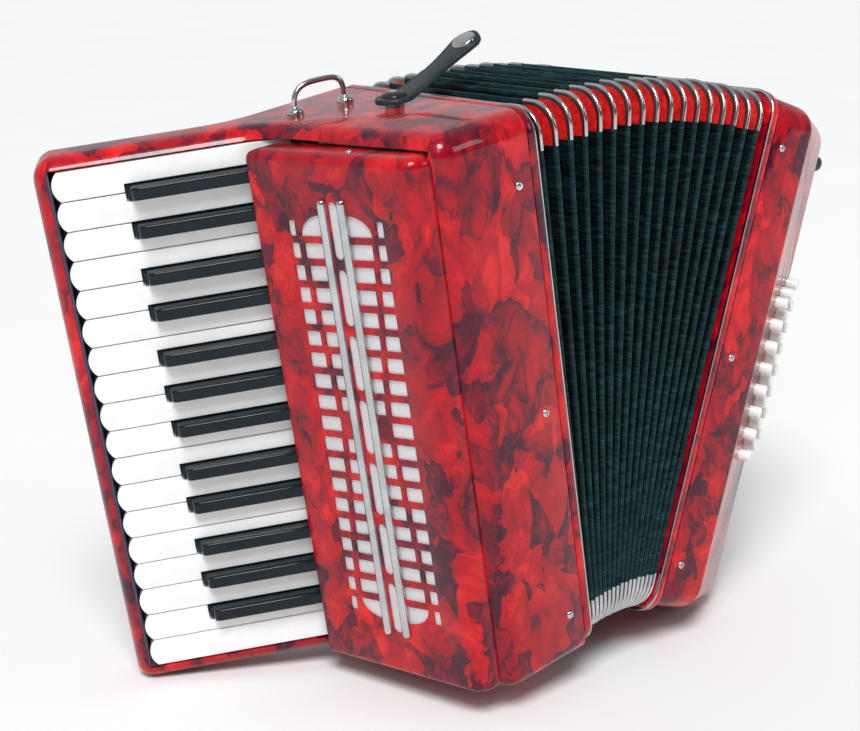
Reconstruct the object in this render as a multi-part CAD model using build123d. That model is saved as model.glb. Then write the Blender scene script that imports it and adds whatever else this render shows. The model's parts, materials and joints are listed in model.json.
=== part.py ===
from build123d import *
from math import atan2, cos, degrees, hypot, radians, sin
import os

os.makedirs("parts", exist_ok=True)

# A piano accordion with 30 treble keys and 24 bass buttons, standing with its bellows fanned open.
# Every sub-part is drawn upright with the bellows closed: X runs from the treble side to the bass side,
# Y from the front to the player, Z up. fan() then opens the bellows about its bottom edge,
# and stand() leans the whole instrument until both of its outer bottom edges are level.

# ---- driving dimensions, in millimetres and degrees ----
BODY_HEIGHT = 360.0
BODY_DEPTH = 184.0
SHELL = 6.0

# keyboard: whites from G to C, low notes at the top
WHITE_NOTES = "GABCDEFGABCDEFGABC"
WHITE_PITCH = 19.0
WHITE_LENGTH = 117.7
WHITE_THICK = 12.0
WHITE_CORNER = 5.0
BLACK_LENGTH = 73.5
BLACK_WIDTH = 9.6
BLACK_RISE = 8.5
BLACK_FRONT_SLOPE = 3.0
BLACK_SHIFTS = {"C": -2.4, "D": 2.4, "F": -5.3, "G": 0.0, "A": 5.3}
KEY_GAP = 0.8
BLACK_SLOT = 11.2
KEY_TAIL = 30.0
KEYS_TOP = 352.0
KEYBOARD_TURN = 33.7
KEYBOARD_X = -36.5
KEYBOARD_Y = 143.8
WING_THICK = 42.0
WING_RIM = 8.5
RIM_GAP = 2.5
WING_LENGTH = WHITE_LENGTH + RIM_GAP + WING_RIM
WING_CORNER = 12.0
AXLE_U = -22.0
AXLE_N = -8.0
AXLE_RADIUS = 2.0
RUNNING_CLEARANCE = 0.06
AXLE_FIT = 0.02
AXLE_LENGTH = BODY_HEIGHT - 6
BED_TOP = -20.0
FELT_THICK = 1.7
FELT_START = 70.0
RECESS_GAP = 0.8
RECESS_START = -60.0

# treble case, soundboard and reeds
CASE_SEAM = 66.0
FRONT_CORNER = 14.0
FACE_FRONT_X = -2.0
FACE_BACK_X = -24.0
SIDE_FLANGE = 12.0
PLATE = 8.0
FACE_BEND = 40.0
BACK_BEND = 60.0
BOARD_X = 4.0
BOARD_THICK = 6.0
CAVITY_X = -60.0
CAVITY_Y = 130.0
CAVITY_BACK_X = -14.0
LEVER_X = -6.5
LEVER_THICK = 3.0
PAD_WIDTH = 12.0
PAD_LENGTH = 22.0
PAD_GAP = 0.3
WHITE_PAD_Y = 44.0
BLACK_PAD_Y = 86.0
THIRD_BLOCK_Y = 136.0
VALVE_HOLE = (16.0, 8.0)
BOARD_GAP = 0.5
REED_BLOCK_DEPTH = 40.0
REED_BLOCK_WIDTH = 20.0
REED_PLATE = 2.0

# grille
GRILLE_RISE = 15.0
GRILLE_TURN = 11.2
GRILLE_LENGTH = 130.0
GRILLE_FRONT_Y = 7.5
GRILLE_SKIN = 3.0
GRILLE_CORNER = 10.0
GRILLE_BOTTOM = 3.0
GRILLE_TOP = 351.0
PATTERN_S = 64.0
PATTERN_Z = 178.0
SLOT_ROWS = 19
SLOT_PITCH = 14.2
SLOT_HEIGHT = 9.2
SLOT_OUTER_EDGE = 37.5
SLOT_NARROW = 5.4
SLOT_WIDE = 17.0
SLOT_RIB = 3.7
ROD_OFFSET = 7.7
ROD_RADIUS = 3.0
ROD_LENGTH = 292.0
OBLONG_COUNT = 7
OBLONG_PITCH = 42.1
OBLONG_LENGTH = 36.0
OBLONG_WIDTH = 7.0

# bellows: 17 folds between two wooden frames
FRAME_THICK = 7.0
FRAME_BAR = 14.0
FOLD_COUNT = 17
FOLD_PITCH = 3.2
FOLD_ANGLE = 1.61
FOLD_RISE = 0.53
FOLD_INSET = 3.0
FOLD_DEPTH = 20.0
FOLD_GAP = 0.4
FOLD_BODIES = 8

# bass side
BASS_FACE = 38.0
BASS_BEVEL_X = 60.5
BASS_BEVEL_Y = 34.0
BASS_THICK = BASS_FACE + BASS_BEVEL_X
BASS_BOTTOM = 4.0
BASS_TOP = 358.0
BASS_CORNER = 12.0
BUTTON_ROWS = 3
BUTTON_COLUMNS = 8
BUTTON_RADIUS = 4.0
BUTTON_RISE = 8.0
BUTTON_TRAVEL = 4.0
BUTTON_PITCH = 15.6
BUTTON_ROW_STEP = 14.5
BUTTON_ROW_START = 28.0
BUTTON_STAGGER = 7.8
BUTTON_LOWEST_Z = 116.5
BUTTON_STEM_RADIUS = 2.0
BUTTON_STEM_LENGTH = 26.0
AIR_BUTTON_Y = 42.0
AIR_BUTTON_Z = 330.0
AIR_BUTTON_RADIUS = 7.0
AIR_BUTTON_RISE = 10.0
BASS_REED_DEPTH = 30.0

# fittings
SCREW_RADIUS = 2.8
SCREW_RISE = 1.6
COUNTERBORE = 1.8
TREBLE_SCREW_X = 54.7
TREBLE_SCREW_Z = (31.0, 172.0, 317.0)
BASS_SCREW_X = 11.0
BASS_SCREW_Z = (37.0, 181.0, 325.0)
BRACKET_SPAN = 34.5
BRACKET_RISE = 17.0
BRACKET_WIRE = 1.8
BRACKET_BASE_RADIUS = 5.5
BRACKET_BASE_RISE = 3.5
BRACKET_X = 6.5
BRACKET_Y = 144.0
BRACKET_TURN = -13.0
STRAP_WIDTH = 24.0
STRAP_THICK = 3.0
STRAP_Y = 93.0
STRAP_ROOT_X = 34.0
STRAP_SNAP_X = 45.0
STRAP_TIP_X = 117.0
STRAP_TIP_RISE = 25.0
SNAP_RADIUS = 7.0
HAND_STRAP_WIDTH = 56.0
HAND_STRAP_Y = 86.0
HAND_STRAP_THICK = 4.0
HAND_STRAP_LOW = 36.0
HAND_STRAP_HIGH = 322.0
HAND_STRAP_BULGE = 30.0

# ---- places worked out from the driving dimensions ----
BELLOWS_X = CASE_SEAM + FRAME_THICK
BELLOWS_CLOSED = FOLD_COUNT * FOLD_PITCH
BASS_X = BELLOWS_X + BELLOWS_CLOSED + FRAME_THICK
TURN = radians(KEYBOARD_TURN)
ALONG = Vector(-cos(TURN), sin(TURN), 0)
UP_FROM_KEYS = Vector(-sin(TURN), -cos(TURN), 0)
KEYBOARD = Plane(origin=(KEYBOARD_X, KEYBOARD_Y, 0), x_dir=ALONG, z_dir=(0, 0, 1))
FACE = radians(GRILLE_TURN)
FACE_ALONG = Vector(-sin(FACE), cos(FACE), 0)
FACE_IN = Vector(cos(FACE), sin(FACE), 0)
GRILLE_FRONT_X = FACE_FRONT_X - GRILLE_RISE - 1.2
GRILLE = Plane(origin=(GRILLE_FRONT_X, GRILLE_FRONT_Y, 0), x_dir=FACE_ALONG, z_dir=FACE_IN)


def block(x, y, z):
    """A box between two numbers along each axis."""
    size = Box(x[1] - x[0], y[1] - y[0], z[1] - z[0], align=(Align.MIN, Align.MIN, Align.MIN))
    return Pos(x[0], y[0], z[0]) * size


def prism(points, low, high):
    """An upright solid on a closed outline of (x, y) points."""
    outline = make_face(Polyline(*points, close=True))
    return Pos(0, 0, low) * extrude(outline, high - low)


def on_keyboard(u, n):
    """The (x, y) of a point u along a key and n above the key tops."""
    return (
        KEYBOARD_X + u * ALONG.X + n * UP_FROM_KEYS.X,
        KEYBOARD_Y + u * ALONG.Y + n * UP_FROM_KEYS.Y,
    )


def rounded(solid, x, y, radius):
    """Round the upright edge that stands at (x, y)."""
    upright = solid.edges().filter_by(Axis.Z)
    edge = upright.sort_by_distance((x, y, solid.center().Z))[0]
    return fillet(edge, radius)


# ---- keyboard ----
def white_span(index):
    top = KEYS_TOP - index * WHITE_PITCH - KEY_GAP / 2
    return (top - WHITE_PITCH + KEY_GAP, top)


def black_boundaries():
    return [i + 1 for i, note in enumerate(WHITE_NOTES[:-1]) if note not in "BE"]


def black_centre(boundary):
    """A black key sits a little to one side of the gap after its white note."""
    return KEYS_TOP - boundary * WHITE_PITCH - BLACK_SHIFTS[WHITE_NOTES[boundary - 1]]


def white_centre(index):
    return KEYS_TOP - (index + 0.5) * WHITE_PITCH


def tail_centre(index):
    """The middle of the strip of a white key that is left between the black keys."""
    low, high = white_span(index)
    if index + 1 in black_boundaries():
        low = max(low, black_centre(index + 1) + BLACK_SLOT / 2)
    if index in black_boundaries():
        high = min(high, black_centre(index) - BLACK_SLOT / 2)
    return (low + high) / 2


def axle_hole(low, high):
    radius = AXLE_RADIUS + RUNNING_CLEARANCE
    return Pos(AXLE_U, AXLE_N, (low + high) / 2) * Cylinder(radius, high - low + 2)


def lever_and_pad(key, lever_z, pad_z, pad_y):
    """The bar that runs from a key's tail to its valve pad, and the pad on the soundboard."""
    tail_y = on_keyboard(-KEY_TAIL, -WHITE_THICK)[1]
    bar = block(
        (LEVER_X, LEVER_X + LEVER_THICK),
        (pad_y - PAD_LENGTH / 2, tail_y),
        (lever_z - LEVER_THICK / 2, lever_z + LEVER_THICK / 2),
    )
    pad = block(
        (LEVER_X + LEVER_THICK, BOARD_X - PAD_GAP),
        (pad_y - PAD_LENGTH / 2, pad_y + PAD_LENGTH / 2),
        (pad_z - PAD_WIDTH / 2, pad_z + PAD_WIDTH / 2),
    )
    return [bar - key, pad]


def white_key(index):
    low, high = white_span(index)
    key = block((-KEY_TAIL, WHITE_LENGTH), (-WHITE_THICK, 0), (low, high))
    ends = key.edges().filter_by(Axis.Y).group_by(Axis.X)[-1]
    key = fillet(ends, WHITE_CORNER)
    notch_end = BLACK_LENGTH + 1.0
    for boundary in black_boundaries():
        if boundary in (index, index + 1):
            z = black_centre(boundary)
            span = (z - BLACK_SLOT / 2, z + BLACK_SLOT / 2)
            key = key - block((-KEY_TAIL - 1, notch_end), (-WHITE_THICK - 1, 1), span)
    key = key - axle_hole(low, high)
    key = KEYBOARD * key
    return [key] + lever_and_pad(key, tail_centre(index), white_centre(index), WHITE_PAD_Y)


def black_key(boundary):
    centre = black_centre(boundary)
    low, high = centre - BLACK_WIDTH / 2, centre + BLACK_WIDTH / 2
    side = [
        (-KEY_TAIL, -WHITE_THICK),
        (BLACK_LENGTH, -WHITE_THICK),
        (BLACK_LENGTH, 0.5),
        (BLACK_LENGTH - BLACK_FRONT_SLOPE, BLACK_RISE),
        (-4, BLACK_RISE),
        (-12, 0),
        (-KEY_TAIL, 0),
    ]
    key = prism(side, low, high) - axle_hole(low, high)
    key = KEYBOARD * key
    return [key] + lever_and_pad(key, centre, centre, BLACK_PAD_Y)


def key_axle():
    x, y = on_keyboard(AXLE_U, AXLE_N)
    return [Pos(x, y, BODY_HEIGHT / 2) * Cylinder(AXLE_RADIUS, AXLE_LENGTH)]


def key_bed():
    low, high = KEYS_TOP - len(WHITE_NOTES) * WHITE_PITCH, KEYS_TOP
    wood = block((0, WHITE_LENGTH + 1), (-WING_THICK + SHELL, BED_TOP), (low, high))
    felt = block((FELT_START, WHITE_LENGTH), (BED_TOP, BED_TOP + FELT_THICK), (low, high))
    return [KEYBOARD * wood, KEYBOARD * felt]


# ---- treble case ----
def case_outline():
    """The treble case from above: a box with the keyboard wing reaching out of its back corner."""
    face_end = on_keyboard((FACE_BACK_X - KEYBOARD_X) / ALONG.X, 0)
    wing_front = on_keyboard(WING_LENGTH, 0)
    wing_back = on_keyboard(WING_LENGTH, -WING_THICK)
    back_u = (BODY_DEPTH - on_keyboard(0, -WING_THICK)[1]) / ALONG.Y
    back_bend = on_keyboard(back_u, -WING_THICK)
    return [
        (CASE_SEAM, 0),
        (FACE_FRONT_X, 0),
        face_end,
        wing_front,
        wing_back,
        back_bend,
        (CASE_SEAM, BODY_DEPTH),
    ]


def case_block():
    outline = case_outline()
    case = prism(outline, 0, BODY_HEIGHT)
    radii = {1: FRONT_CORNER, 2: FACE_BEND, 3: WING_CORNER, 4: WING_CORNER, 5: BACK_BEND}
    for corner, radius in radii.items():
        case = rounded(case, *outline[corner], radius)
    return case


def treble_case():
    inside = [
        (CASE_SEAM + 1, SHELL),
        (BOARD_X, SHELL),
        (BOARD_X, SIDE_FLANGE),
        (CAVITY_X, SIDE_FLANGE),
        (CAVITY_X, CAVITY_Y),
        on_keyboard(0, -WING_THICK + SHELL),
        (CAVITY_BACK_X, BODY_DEPTH - SHELL),
        (CASE_SEAM + 1, BODY_DEPTH - SHELL),
    ]
    case = case_block() - prism(inside, PLATE, BODY_HEIGHT - PLATE)
    low = KEYS_TOP - len(WHITE_NOTES) * WHITE_PITCH - RECESS_GAP
    along = (RECESS_START, WHITE_LENGTH + RIM_GAP)
    above = (-WING_THICK + SHELL, WING_THICK)
    case = case - KEYBOARD * block(along, above, (low, KEYS_TOP + RECESS_GAP))
    x, y = on_keyboard(AXLE_U, AXLE_N)
    case = case - Pos(x, y, BODY_HEIGHT / 2) * Cylinder(AXLE_RADIUS + AXLE_FIT, AXLE_LENGTH)
    return [case - counterbores(TREBLE_SCREW_X, TREBLE_SCREW_Z)]


def treble_soundboard():
    board = block(
        (BOARD_X, BOARD_X + BOARD_THICK),
        (SIDE_FLANGE + BOARD_GAP, BODY_DEPTH - SHELL - BOARD_GAP),
        (PLATE + BOARD_GAP, BODY_HEIGHT - PLATE - BOARD_GAP),
    )
    whites = [(white_centre(i), WHITE_PAD_Y) for i in range(len(WHITE_NOTES))]
    blacks = [(black_centre(b), BLACK_PAD_Y) for b in black_boundaries()]
    through = (BOARD_X - 1, BOARD_X + BOARD_THICK + 1)
    long, wide = VALVE_HOLE
    holes = [
        block(through, (y - long / 2, y + long / 2), (z - wide / 2, z + wide / 2))
        for z, y in whites + blacks
    ]
    return [board - holes]


def reed_block(x, y, z):
    """A wooden block with a row of reed plates on each of its long sides."""
    wood = block(x, y, z)
    plates = []
    for side in ((y[0] - REED_PLATE, y[0]), (y[1], y[1] + REED_PLATE)):
        plates.append(block((x[0] + 3, x[1] - 3), side, (z[0] + 4, z[1] - 4)))
    return [wood] + plates


def treble_reed_blocks():
    start = BOARD_X + BOARD_THICK
    solids = []
    for y in (WHITE_PAD_Y, BLACK_PAD_Y, THIRD_BLOCK_Y):
        across = (y - REED_BLOCK_WIDTH / 2, y + REED_BLOCK_WIDTH / 2)
        solids += reed_block((start, start + REED_BLOCK_DEPTH), across, (16, BODY_HEIGHT - 16))
    return solids


# ---- grille ----
def on_grille(s, depth):
    """The (x, y) of a point s along the grille's face and depth behind it."""
    return (
        GRILLE_FRONT_X + s * FACE_ALONG.X + depth * FACE_IN.X,
        GRILLE_FRONT_Y + s * FACE_ALONG.Y + depth * FACE_IN.Y,
    )


def grille_panel():
    back = GRILLE_FRONT_X + GRILLE_RISE
    tip = on_grille(GRILLE_LENGTH, 0)
    foot = on_grille(GRILLE_LENGTH - 6, GRILLE_RISE - 1)
    outline = [(back, GRILLE_FRONT_Y), (GRILLE_FRONT_X, GRILLE_FRONT_Y), tip, foot]
    panel = prism(outline, GRILLE_BOTTOM, GRILLE_TOP)
    panel = rounded(panel, GRILLE_FRONT_X, GRILLE_FRONT_Y, GRILLE_CORNER)
    skin = GRILLE_SKIN
    far = on_grille(GRILLE_LENGTH + 20, skin)
    inner = [
        (back + 9, GRILLE_FRONT_Y + skin),
        on_grille(skin, skin),
        far,
        (far[0] + 60, far[1]),
    ]
    panel = panel - prism(inner, GRILLE_BOTTOM + skin, GRILLE_TOP - skin)
    return [panel - case_block() - grille_slots()]


def face_block(s, z, depth=(-5, 12)):
    """A box on the grille's face: s along it, z up, depth into it."""
    return GRILLE * block(s, z, depth)


def grille_slots():
    """Two outer columns, two inner columns and a middle row of oblongs between the rods."""
    slots = []
    for row in range(SLOT_ROWS):
        z = PATTERN_Z + (row - (SLOT_ROWS - 1) / 2) * SLOT_PITCH
        nearness = 1 - abs(row - (SLOT_ROWS - 1) / 2) / ((SLOT_ROWS - 1) / 2)
        width = SLOT_NARROW + (SLOT_WIDE - SLOT_NARROW) * nearness
        height = (z - SLOT_HEIGHT / 2, z + SLOT_HEIGHT / 2)
        outer = (SLOT_OUTER_EDGE - width, SLOT_OUTER_EDGE)
        inner = (ROD_OFFSET + 1, SLOT_OUTER_EDGE - width - SLOT_RIB)
        spans = [outer] if nearness == 1 else [outer, inner]
        for near, far in spans:
            slots.append(face_block((PATTERN_S + near, PATTERN_S + far), height))
            slots.append(face_block((PATTERN_S - far, PATTERN_S - near), height))
    for index in range(OBLONG_COUNT):
        z = PATTERN_Z + (index - (OBLONG_COUNT - 1) / 2) * OBLONG_PITCH
        across = (PATTERN_S - OBLONG_WIDTH / 2, PATTERN_S + OBLONG_WIDTH / 2)
        slots.append(face_block(across, (z - OBLONG_LENGTH / 2, z + OBLONG_LENGTH / 2)))
    return slots


def grille_mesh():
    reach = SLOT_OUTER_EDGE + 4
    height = SLOT_ROWS * SLOT_PITCH / 2 + 16
    depth = (GRILLE_SKIN + 0.6, GRILLE_SKIN + 1.6)
    return [
        face_block(
            (PATTERN_S - reach, PATTERN_S + reach), (PATTERN_Z - height, PATTERN_Z + height), depth
        )
    ]


def grille_rods():
    rods = []
    for side in (-1, 1):
        half = Cylinder(ROD_RADIUS, ROD_LENGTH) & block(
            (-ROD_RADIUS, ROD_RADIUS), (-ROD_RADIUS, 0), (-ROD_LENGTH, ROD_LENGTH)
        )
        lying = Rot(90, 0, 0) * half
        rods.append(GRILLE * (Pos(PATTERN_S + side * ROD_OFFSET, PATTERN_Z, 0) * lying))
    return rods


# ---- bellows ----
def ring(x, inset, bar, low=0.0, high=BODY_HEIGHT):
    """Four bars round the bellows' mouth, each its own solid."""
    y0, y1 = inset, BODY_DEPTH - inset
    z0, z1 = low + inset, high - inset
    bottom = block(x, (y0, y1), (z0, z0 + bar))
    top = block(x, (y0, y1), (z1 - bar, z1))
    front = block(x, (y0, y0 + bar), (z0 + bar, z1 - bar))
    back = block(x, (y1 - bar, y1), (z0 + bar, z1 - bar))
    return [bottom, top, front, back]


def treble_bellows_frame():
    return ring((CASE_SEAM, BELLOWS_X), 0, FRAME_BAR)


def bass_bellows_frame():
    return ring((BASS_X - FRAME_THICK, BASS_X), 0, FRAME_BAR)


def bellows_fold(index):
    """Two folds of the bellows, as the card ring that carries them."""
    start = BELLOWS_X + 2 * (index - 1) * FOLD_PITCH
    return ring(
        (start + FOLD_GAP / 2, start + 2 * FOLD_PITCH - FOLD_GAP / 2), FOLD_INSET, FOLD_DEPTH
    )


# ---- bass side, drawn from its own seam ----
def bass_outline(inset=0.0):
    slope = hypot(BASS_BEVEL_X, BASS_BEVEL_Y)
    shift = inset * (slope - BASS_BEVEL_X) / BASS_BEVEL_Y
    tail = inset * (slope - BASS_BEVEL_Y) / BASS_BEVEL_X
    return [
        (0 - inset, inset),
        (BASS_FACE - shift, inset),
        (BASS_THICK - inset, BASS_BEVEL_Y + tail),
        (BASS_THICK - inset, BODY_DEPTH - inset),
        (0 - inset, BODY_DEPTH - inset),
    ]


def bevel_frame():
    """A plane on the sloping button board: x across the rows, y up, z out of the board."""
    slope = hypot(BASS_BEVEL_X, BASS_BEVEL_Y)
    across = (BASS_BEVEL_X / slope, BASS_BEVEL_Y / slope, 0)
    outward = (BASS_BEVEL_Y / slope, -BASS_BEVEL_X / slope, 0)
    return Plane(origin=(BASS_FACE, 0, 0), x_dir=across, z_dir=outward)


def button_places(row):
    """(across, up) of each button in a row of the board."""
    across = BUTTON_ROW_START + row * BUTTON_ROW_STEP
    low = BUTTON_LOWEST_Z + row * BUTTON_STAGGER
    side = 1 if bevel_frame().y_dir.Z > 0 else -1
    return [(across, side * (low + i * BUTTON_PITCH)) for i in range(BUTTON_COLUMNS)]


def bass_case():
    outline = bass_outline()
    case = prism(outline, BASS_BOTTOM, BASS_TOP)
    for corner in (1, 2, 3):
        case = rounded(case, *outline[corner], BASS_CORNER)
    case = case - prism(bass_outline(SHELL), BASS_BOTTOM + SHELL, BASS_TOP - SHELL)
    holes = []
    for row in range(BUTTON_ROWS):
        for across, up in button_places(row):
            hole = Pos(across, up, 0) * Cylinder(BUTTON_RADIUS + 0.4, 4 * SHELL)
            holes.append(bevel_frame() * hole)
    air = Pos(BASS_THICK, AIR_BUTTON_Y, AIR_BUTTON_Z) * Rot(0, 90, 0)
    holes.append(air * Cylinder(AIR_BUTTON_RADIUS + 0.4, 4 * SHELL))
    holes += counterbores(BASS_SCREW_X, BASS_SCREW_Z)
    return [Pos(BASS_X, 0, 0) * (case - holes)]


def button(radius, rise, stem):
    """A domed cap standing out of its hole, on the stem that pushes the mechanism."""
    cap = Pos(0, 0, (rise - SHELL) / 2) * Cylinder(radius, rise + SHELL)
    cap = fillet(cap.edges().group_by(Axis.Z)[-1], radius / 4)
    rod = Pos(0, 0, -SHELL - stem / 2) * Cylinder(BUTTON_STEM_RADIUS, stem)
    return [cap, rod]


def bass_button_row(row):
    solids = []
    for across, up in button_places(row):
        for solid in button(BUTTON_RADIUS, BUTTON_RISE, BUTTON_STEM_LENGTH):
            solids.append(Pos(BASS_X, 0, 0) * (bevel_frame() * (Pos(across, up, 0) * solid)))
    return solids


def air_button():
    place = Pos(BASS_X + BASS_THICK, AIR_BUTTON_Y, AIR_BUTTON_Z) * Rot(0, 90, 0)
    return [place * solid for solid in button(AIR_BUTTON_RADIUS, AIR_BUTTON_RISE, 14.0)]


def bass_reed_block():
    shelf = block(
        (SHELL / 2, SHELL), (SHELL + 1, BODY_DEPTH - SHELL - 1), (BASS_BOTTOM + 7, BASS_TOP - 7)
    )
    solids = [shelf]
    for y in (70.0, 130.0):
        across = (y - REED_BLOCK_WIDTH / 2, y + REED_BLOCK_WIDTH / 2)
        solids += reed_block((SHELL, SHELL + BASS_REED_DEPTH), across, (30, 330))
    return [Pos(BASS_X, 0, 0) * solid for solid in solids]


def bass_hand_strap():
    """A leather band over the outer side, bowed out so that a hand fits under it."""
    x = BASS_X + BASS_THICK
    middle = (HAND_STRAP_LOW + HAND_STRAP_HIGH) / 2
    foot = 22.0
    low = [(x + 0.3, HAND_STRAP_LOW), (x + 0.3, HAND_STRAP_LOW + foot)]
    bow = [(x + HAND_STRAP_BULGE, middle - 60), (x + HAND_STRAP_BULGE, middle + 60)]
    high = [(x + 0.3, HAND_STRAP_HIGH - foot), (x + 0.3, HAND_STRAP_HIGH)]
    inner = low + bow + high
    outer = [(px + HAND_STRAP_THICK, pz) for px, pz in reversed(inner)]
    side = make_face(Plane.XZ * Polyline(*(inner + outer), close=True))
    band = extrude(side, HAND_STRAP_WIDTH, dir=(0, 1, 0))
    return [Pos(0, HAND_STRAP_Y, 0) * band]


# ---- fittings ----
def screw_heads(x, heights):
    """Domed heads that stand out at the front and lie in counterbores at the back."""
    head = Pos(0, 0, SCREW_RISE / 2) * Cylinder(SCREW_RADIUS, SCREW_RISE)
    head = fillet(head.edges().group_by(Axis.Z)[-1], SCREW_RISE * 0.6)
    heads = []
    for z in heights:
        heads.append(Pos(x, 0, z) * Rot(90, 0, 0) * head)
        heads.append(Pos(x, BODY_DEPTH - COUNTERBORE, z) * Rot(-90, 0, 0) * head)
    return heads


def counterbores(x, heights):
    """The holes that take the back screws' heads below the surface."""
    hole = Cylinder(SCREW_RADIUS + 0.3, 2 * COUNTERBORE)
    return [Pos(x, BODY_DEPTH, z) * Rot(90, 0, 0) * hole for z in heights]


def strap_bracket(upward):
    """A wire loop on two round bases, for a shoulder strap's hook."""
    wire_z = BRACKET_BASE_RISE - 0.5
    path = FilletPolyline(
        (0, 0, wire_z),
        (0.5, 0, 0.62 * BRACKET_RISE),
        (9, 0, BRACKET_RISE),
        (BRACKET_SPAN - 7, 0, BRACKET_RISE),
        (BRACKET_SPAN, 0, 0.75 * BRACKET_RISE),
        (BRACKET_SPAN, 0, wire_z),
        radius=3.0,
    )
    wire = sweep(Plane(origin=path @ 0, z_dir=path % 0) * Circle(BRACKET_WIRE), path=path)
    loop = wire
    for x in (0, BRACKET_SPAN):
        base = Pos(x, 0, BRACKET_BASE_RISE / 2) * Cylinder(BRACKET_BASE_RADIUS, BRACKET_BASE_RISE)
        loop = loop + fillet(base.edges().group_by(Axis.Z)[-1], BRACKET_BASE_RISE * 0.6)
    loop = Rot(0, 0, BRACKET_TURN) * loop
    if upward:
        return Pos(BRACKET_X, BRACKET_Y, BODY_HEIGHT) * loop
    return Pos(BRACKET_X, BRACKET_Y, 0) * (Rot(180, 0, 0) * (Rot(0, 0, -2 * BRACKET_TURN) * loop))


def strap_brackets():
    return [strap_bracket(True), strap_bracket(False)]


def closing_strap():
    """The leather strap that holds the bellows shut, snapped at one end and lifting at the other."""
    z = BODY_HEIGHT + 2.5
    top = z + STRAP_TIP_RISE
    lower = [(STRAP_ROOT_X, z), (STRAP_SNAP_X + 12, z), (STRAP_TIP_X, top)]
    upper = [(px, pz + STRAP_THICK) for px, pz in reversed(lower)]
    side = make_face(Plane.XZ * Polyline(*(lower + upper), close=True))
    band = extrude(side, STRAP_WIDTH, dir=(0, 1, 0))
    return [Pos(0, STRAP_Y - STRAP_WIDTH / 2, 0) * band]


def closing_strap_snaps():
    """The post and cap that hold the strap to the case, and the cap at its free end."""
    z = BODY_HEIGHT
    post = Pos(STRAP_SNAP_X, STRAP_Y, z + 1.25) * Cylinder(SNAP_RADIUS - 1, 2.5)
    cap = Pos(STRAP_SNAP_X, STRAP_Y, z + 2.5 + STRAP_THICK + 1.2) * Cylinder(SNAP_RADIUS, 2.4)
    slope = degrees(atan2(STRAP_TIP_RISE, STRAP_TIP_X - STRAP_SNAP_X - 12))
    end = Pos(0, 0, STRAP_THICK + 1.0) * Cylinder(SNAP_RADIUS, 2.0)
    run = STRAP_TIP_X - STRAP_SNAP_X - 12
    share = (run - 10) / run
    place = Pos(STRAP_SNAP_X + 12 + run * share, STRAP_Y, z + 2.5 + STRAP_TIP_RISE * share)
    return [post, cap, place * Rot(0, -slope, 0) * end]


# ---- opening the bellows and standing the instrument up ----
def hinge_places():
    """Closed x of each hinge along the bellows' bottom edge, and how many folds it opens."""
    places = [(BELLOWS_X, 1)]
    places += [(BELLOWS_X + 2 * m * FOLD_PITCH, 2) for m in range(1, FOLD_BODIES + 1)]
    return places


def fan(steps):
    """Where a body stands after the first hinges have opened. Each fold also sits a little higher."""
    place = Location()
    for x, folds in hinge_places()[:steps]:
        hinge = Pos(x, 0, folds * FOLD_RISE)
        place = place * (hinge * Rot(0, folds * FOLD_ANGLE, 0) * Pos(-x, 0, 0))
    return place


def lean():
    """How far the instrument leans towards its keyboard when both outer bottom edges are level."""
    treble = Vector(min(x for x, _ in case_outline()), 0, 0)
    bass = (fan(FOLD_BODIES + 1) * Pos(BASS_X + BASS_THICK, 0, BASS_BOTTOM)).position
    return degrees(atan2(treble.Z - bass.Z, bass.X - treble.X))


LEAN = lean()


def bodies():
    """Every node's solids, and how many hinges lie between its body and the treble case."""
    nodes = {
        "treble_case": (treble_case(), 0),
        "key_bed": (key_bed(), 0),
        "key_axle": (key_axle(), 0),
        "grille_panel": (grille_panel(), 0),
        "grille_rods": (grille_rods(), 0),
        "grille_mesh": (grille_mesh(), 0),
        "treble_soundboard": (treble_soundboard(), 0),
        "treble_reed_blocks": (treble_reed_blocks(), 0),
        "treble_bellows_frame": (treble_bellows_frame(), 0),
        "treble_screws": (screw_heads(TREBLE_SCREW_X, TREBLE_SCREW_Z), 0),
        "strap_brackets": (strap_brackets(), 0),
        "closing_strap": (closing_strap(), 0),
        "closing_strap_snaps": (closing_strap_snaps(), 0),
    }
    for index in range(len(WHITE_NOTES)):
        nodes[f"white_key_{index + 1:02d}"] = (white_key(index), 0)
    for number, boundary in enumerate(black_boundaries(), 1):
        nodes[f"black_key_{number:02d}"] = (black_key(boundary), 0)
    for index in range(1, FOLD_BODIES + 1):
        nodes[f"bellows_fold_{index}"] = (bellows_fold(index), index)
    last = FOLD_BODIES + 1
    nodes["bass_bellows_frame"] = (bass_bellows_frame(), last)
    nodes["bass_case"] = (bass_case(), last)
    nodes["bass_reed_block"] = (bass_reed_block(), last)
    nodes["bass_hand_strap"] = (bass_hand_strap(), last)
    nodes["bass_screws"] = (screw_heads(BASS_X + BASS_SCREW_X, BASS_SCREW_Z), last)
    nodes["air_button"] = (air_button(), last)
    for row in range(BUTTON_ROWS):
        nodes[f"bass_button_row_{row + 1}"] = (bass_button_row(row), last)
    return nodes


def extent(nodes):
    """The lowest and highest corners of all the solids."""
    boxes = [solid.bounding_box() for group in nodes.values() for solid in group]
    low = Vector(*(min(getattr(box.min, axis) for box in boxes) for axis in "XYZ"))
    high = Vector(*(max(getattr(box.max, axis) for box in boxes) for axis in "XYZ"))
    return low, high


def stand(nodes):
    """Lean the instrument, then put its box's bottom centre on the origin."""
    leaning = Rot(0, -LEAN, 0)
    placed = {}
    for name, (solids, steps) in nodes.items():
        placed[name] = [leaning * fan(steps) * solid for solid in solids]
    low, high = extent(placed)
    shift = Pos(-(low.X + high.X) / 2, -(low.Y + high.Y) / 2, -low.Z)
    standing = {name: [shift * solid for solid in group] for name, group in placed.items()}
    return standing, shift * leaning


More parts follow.
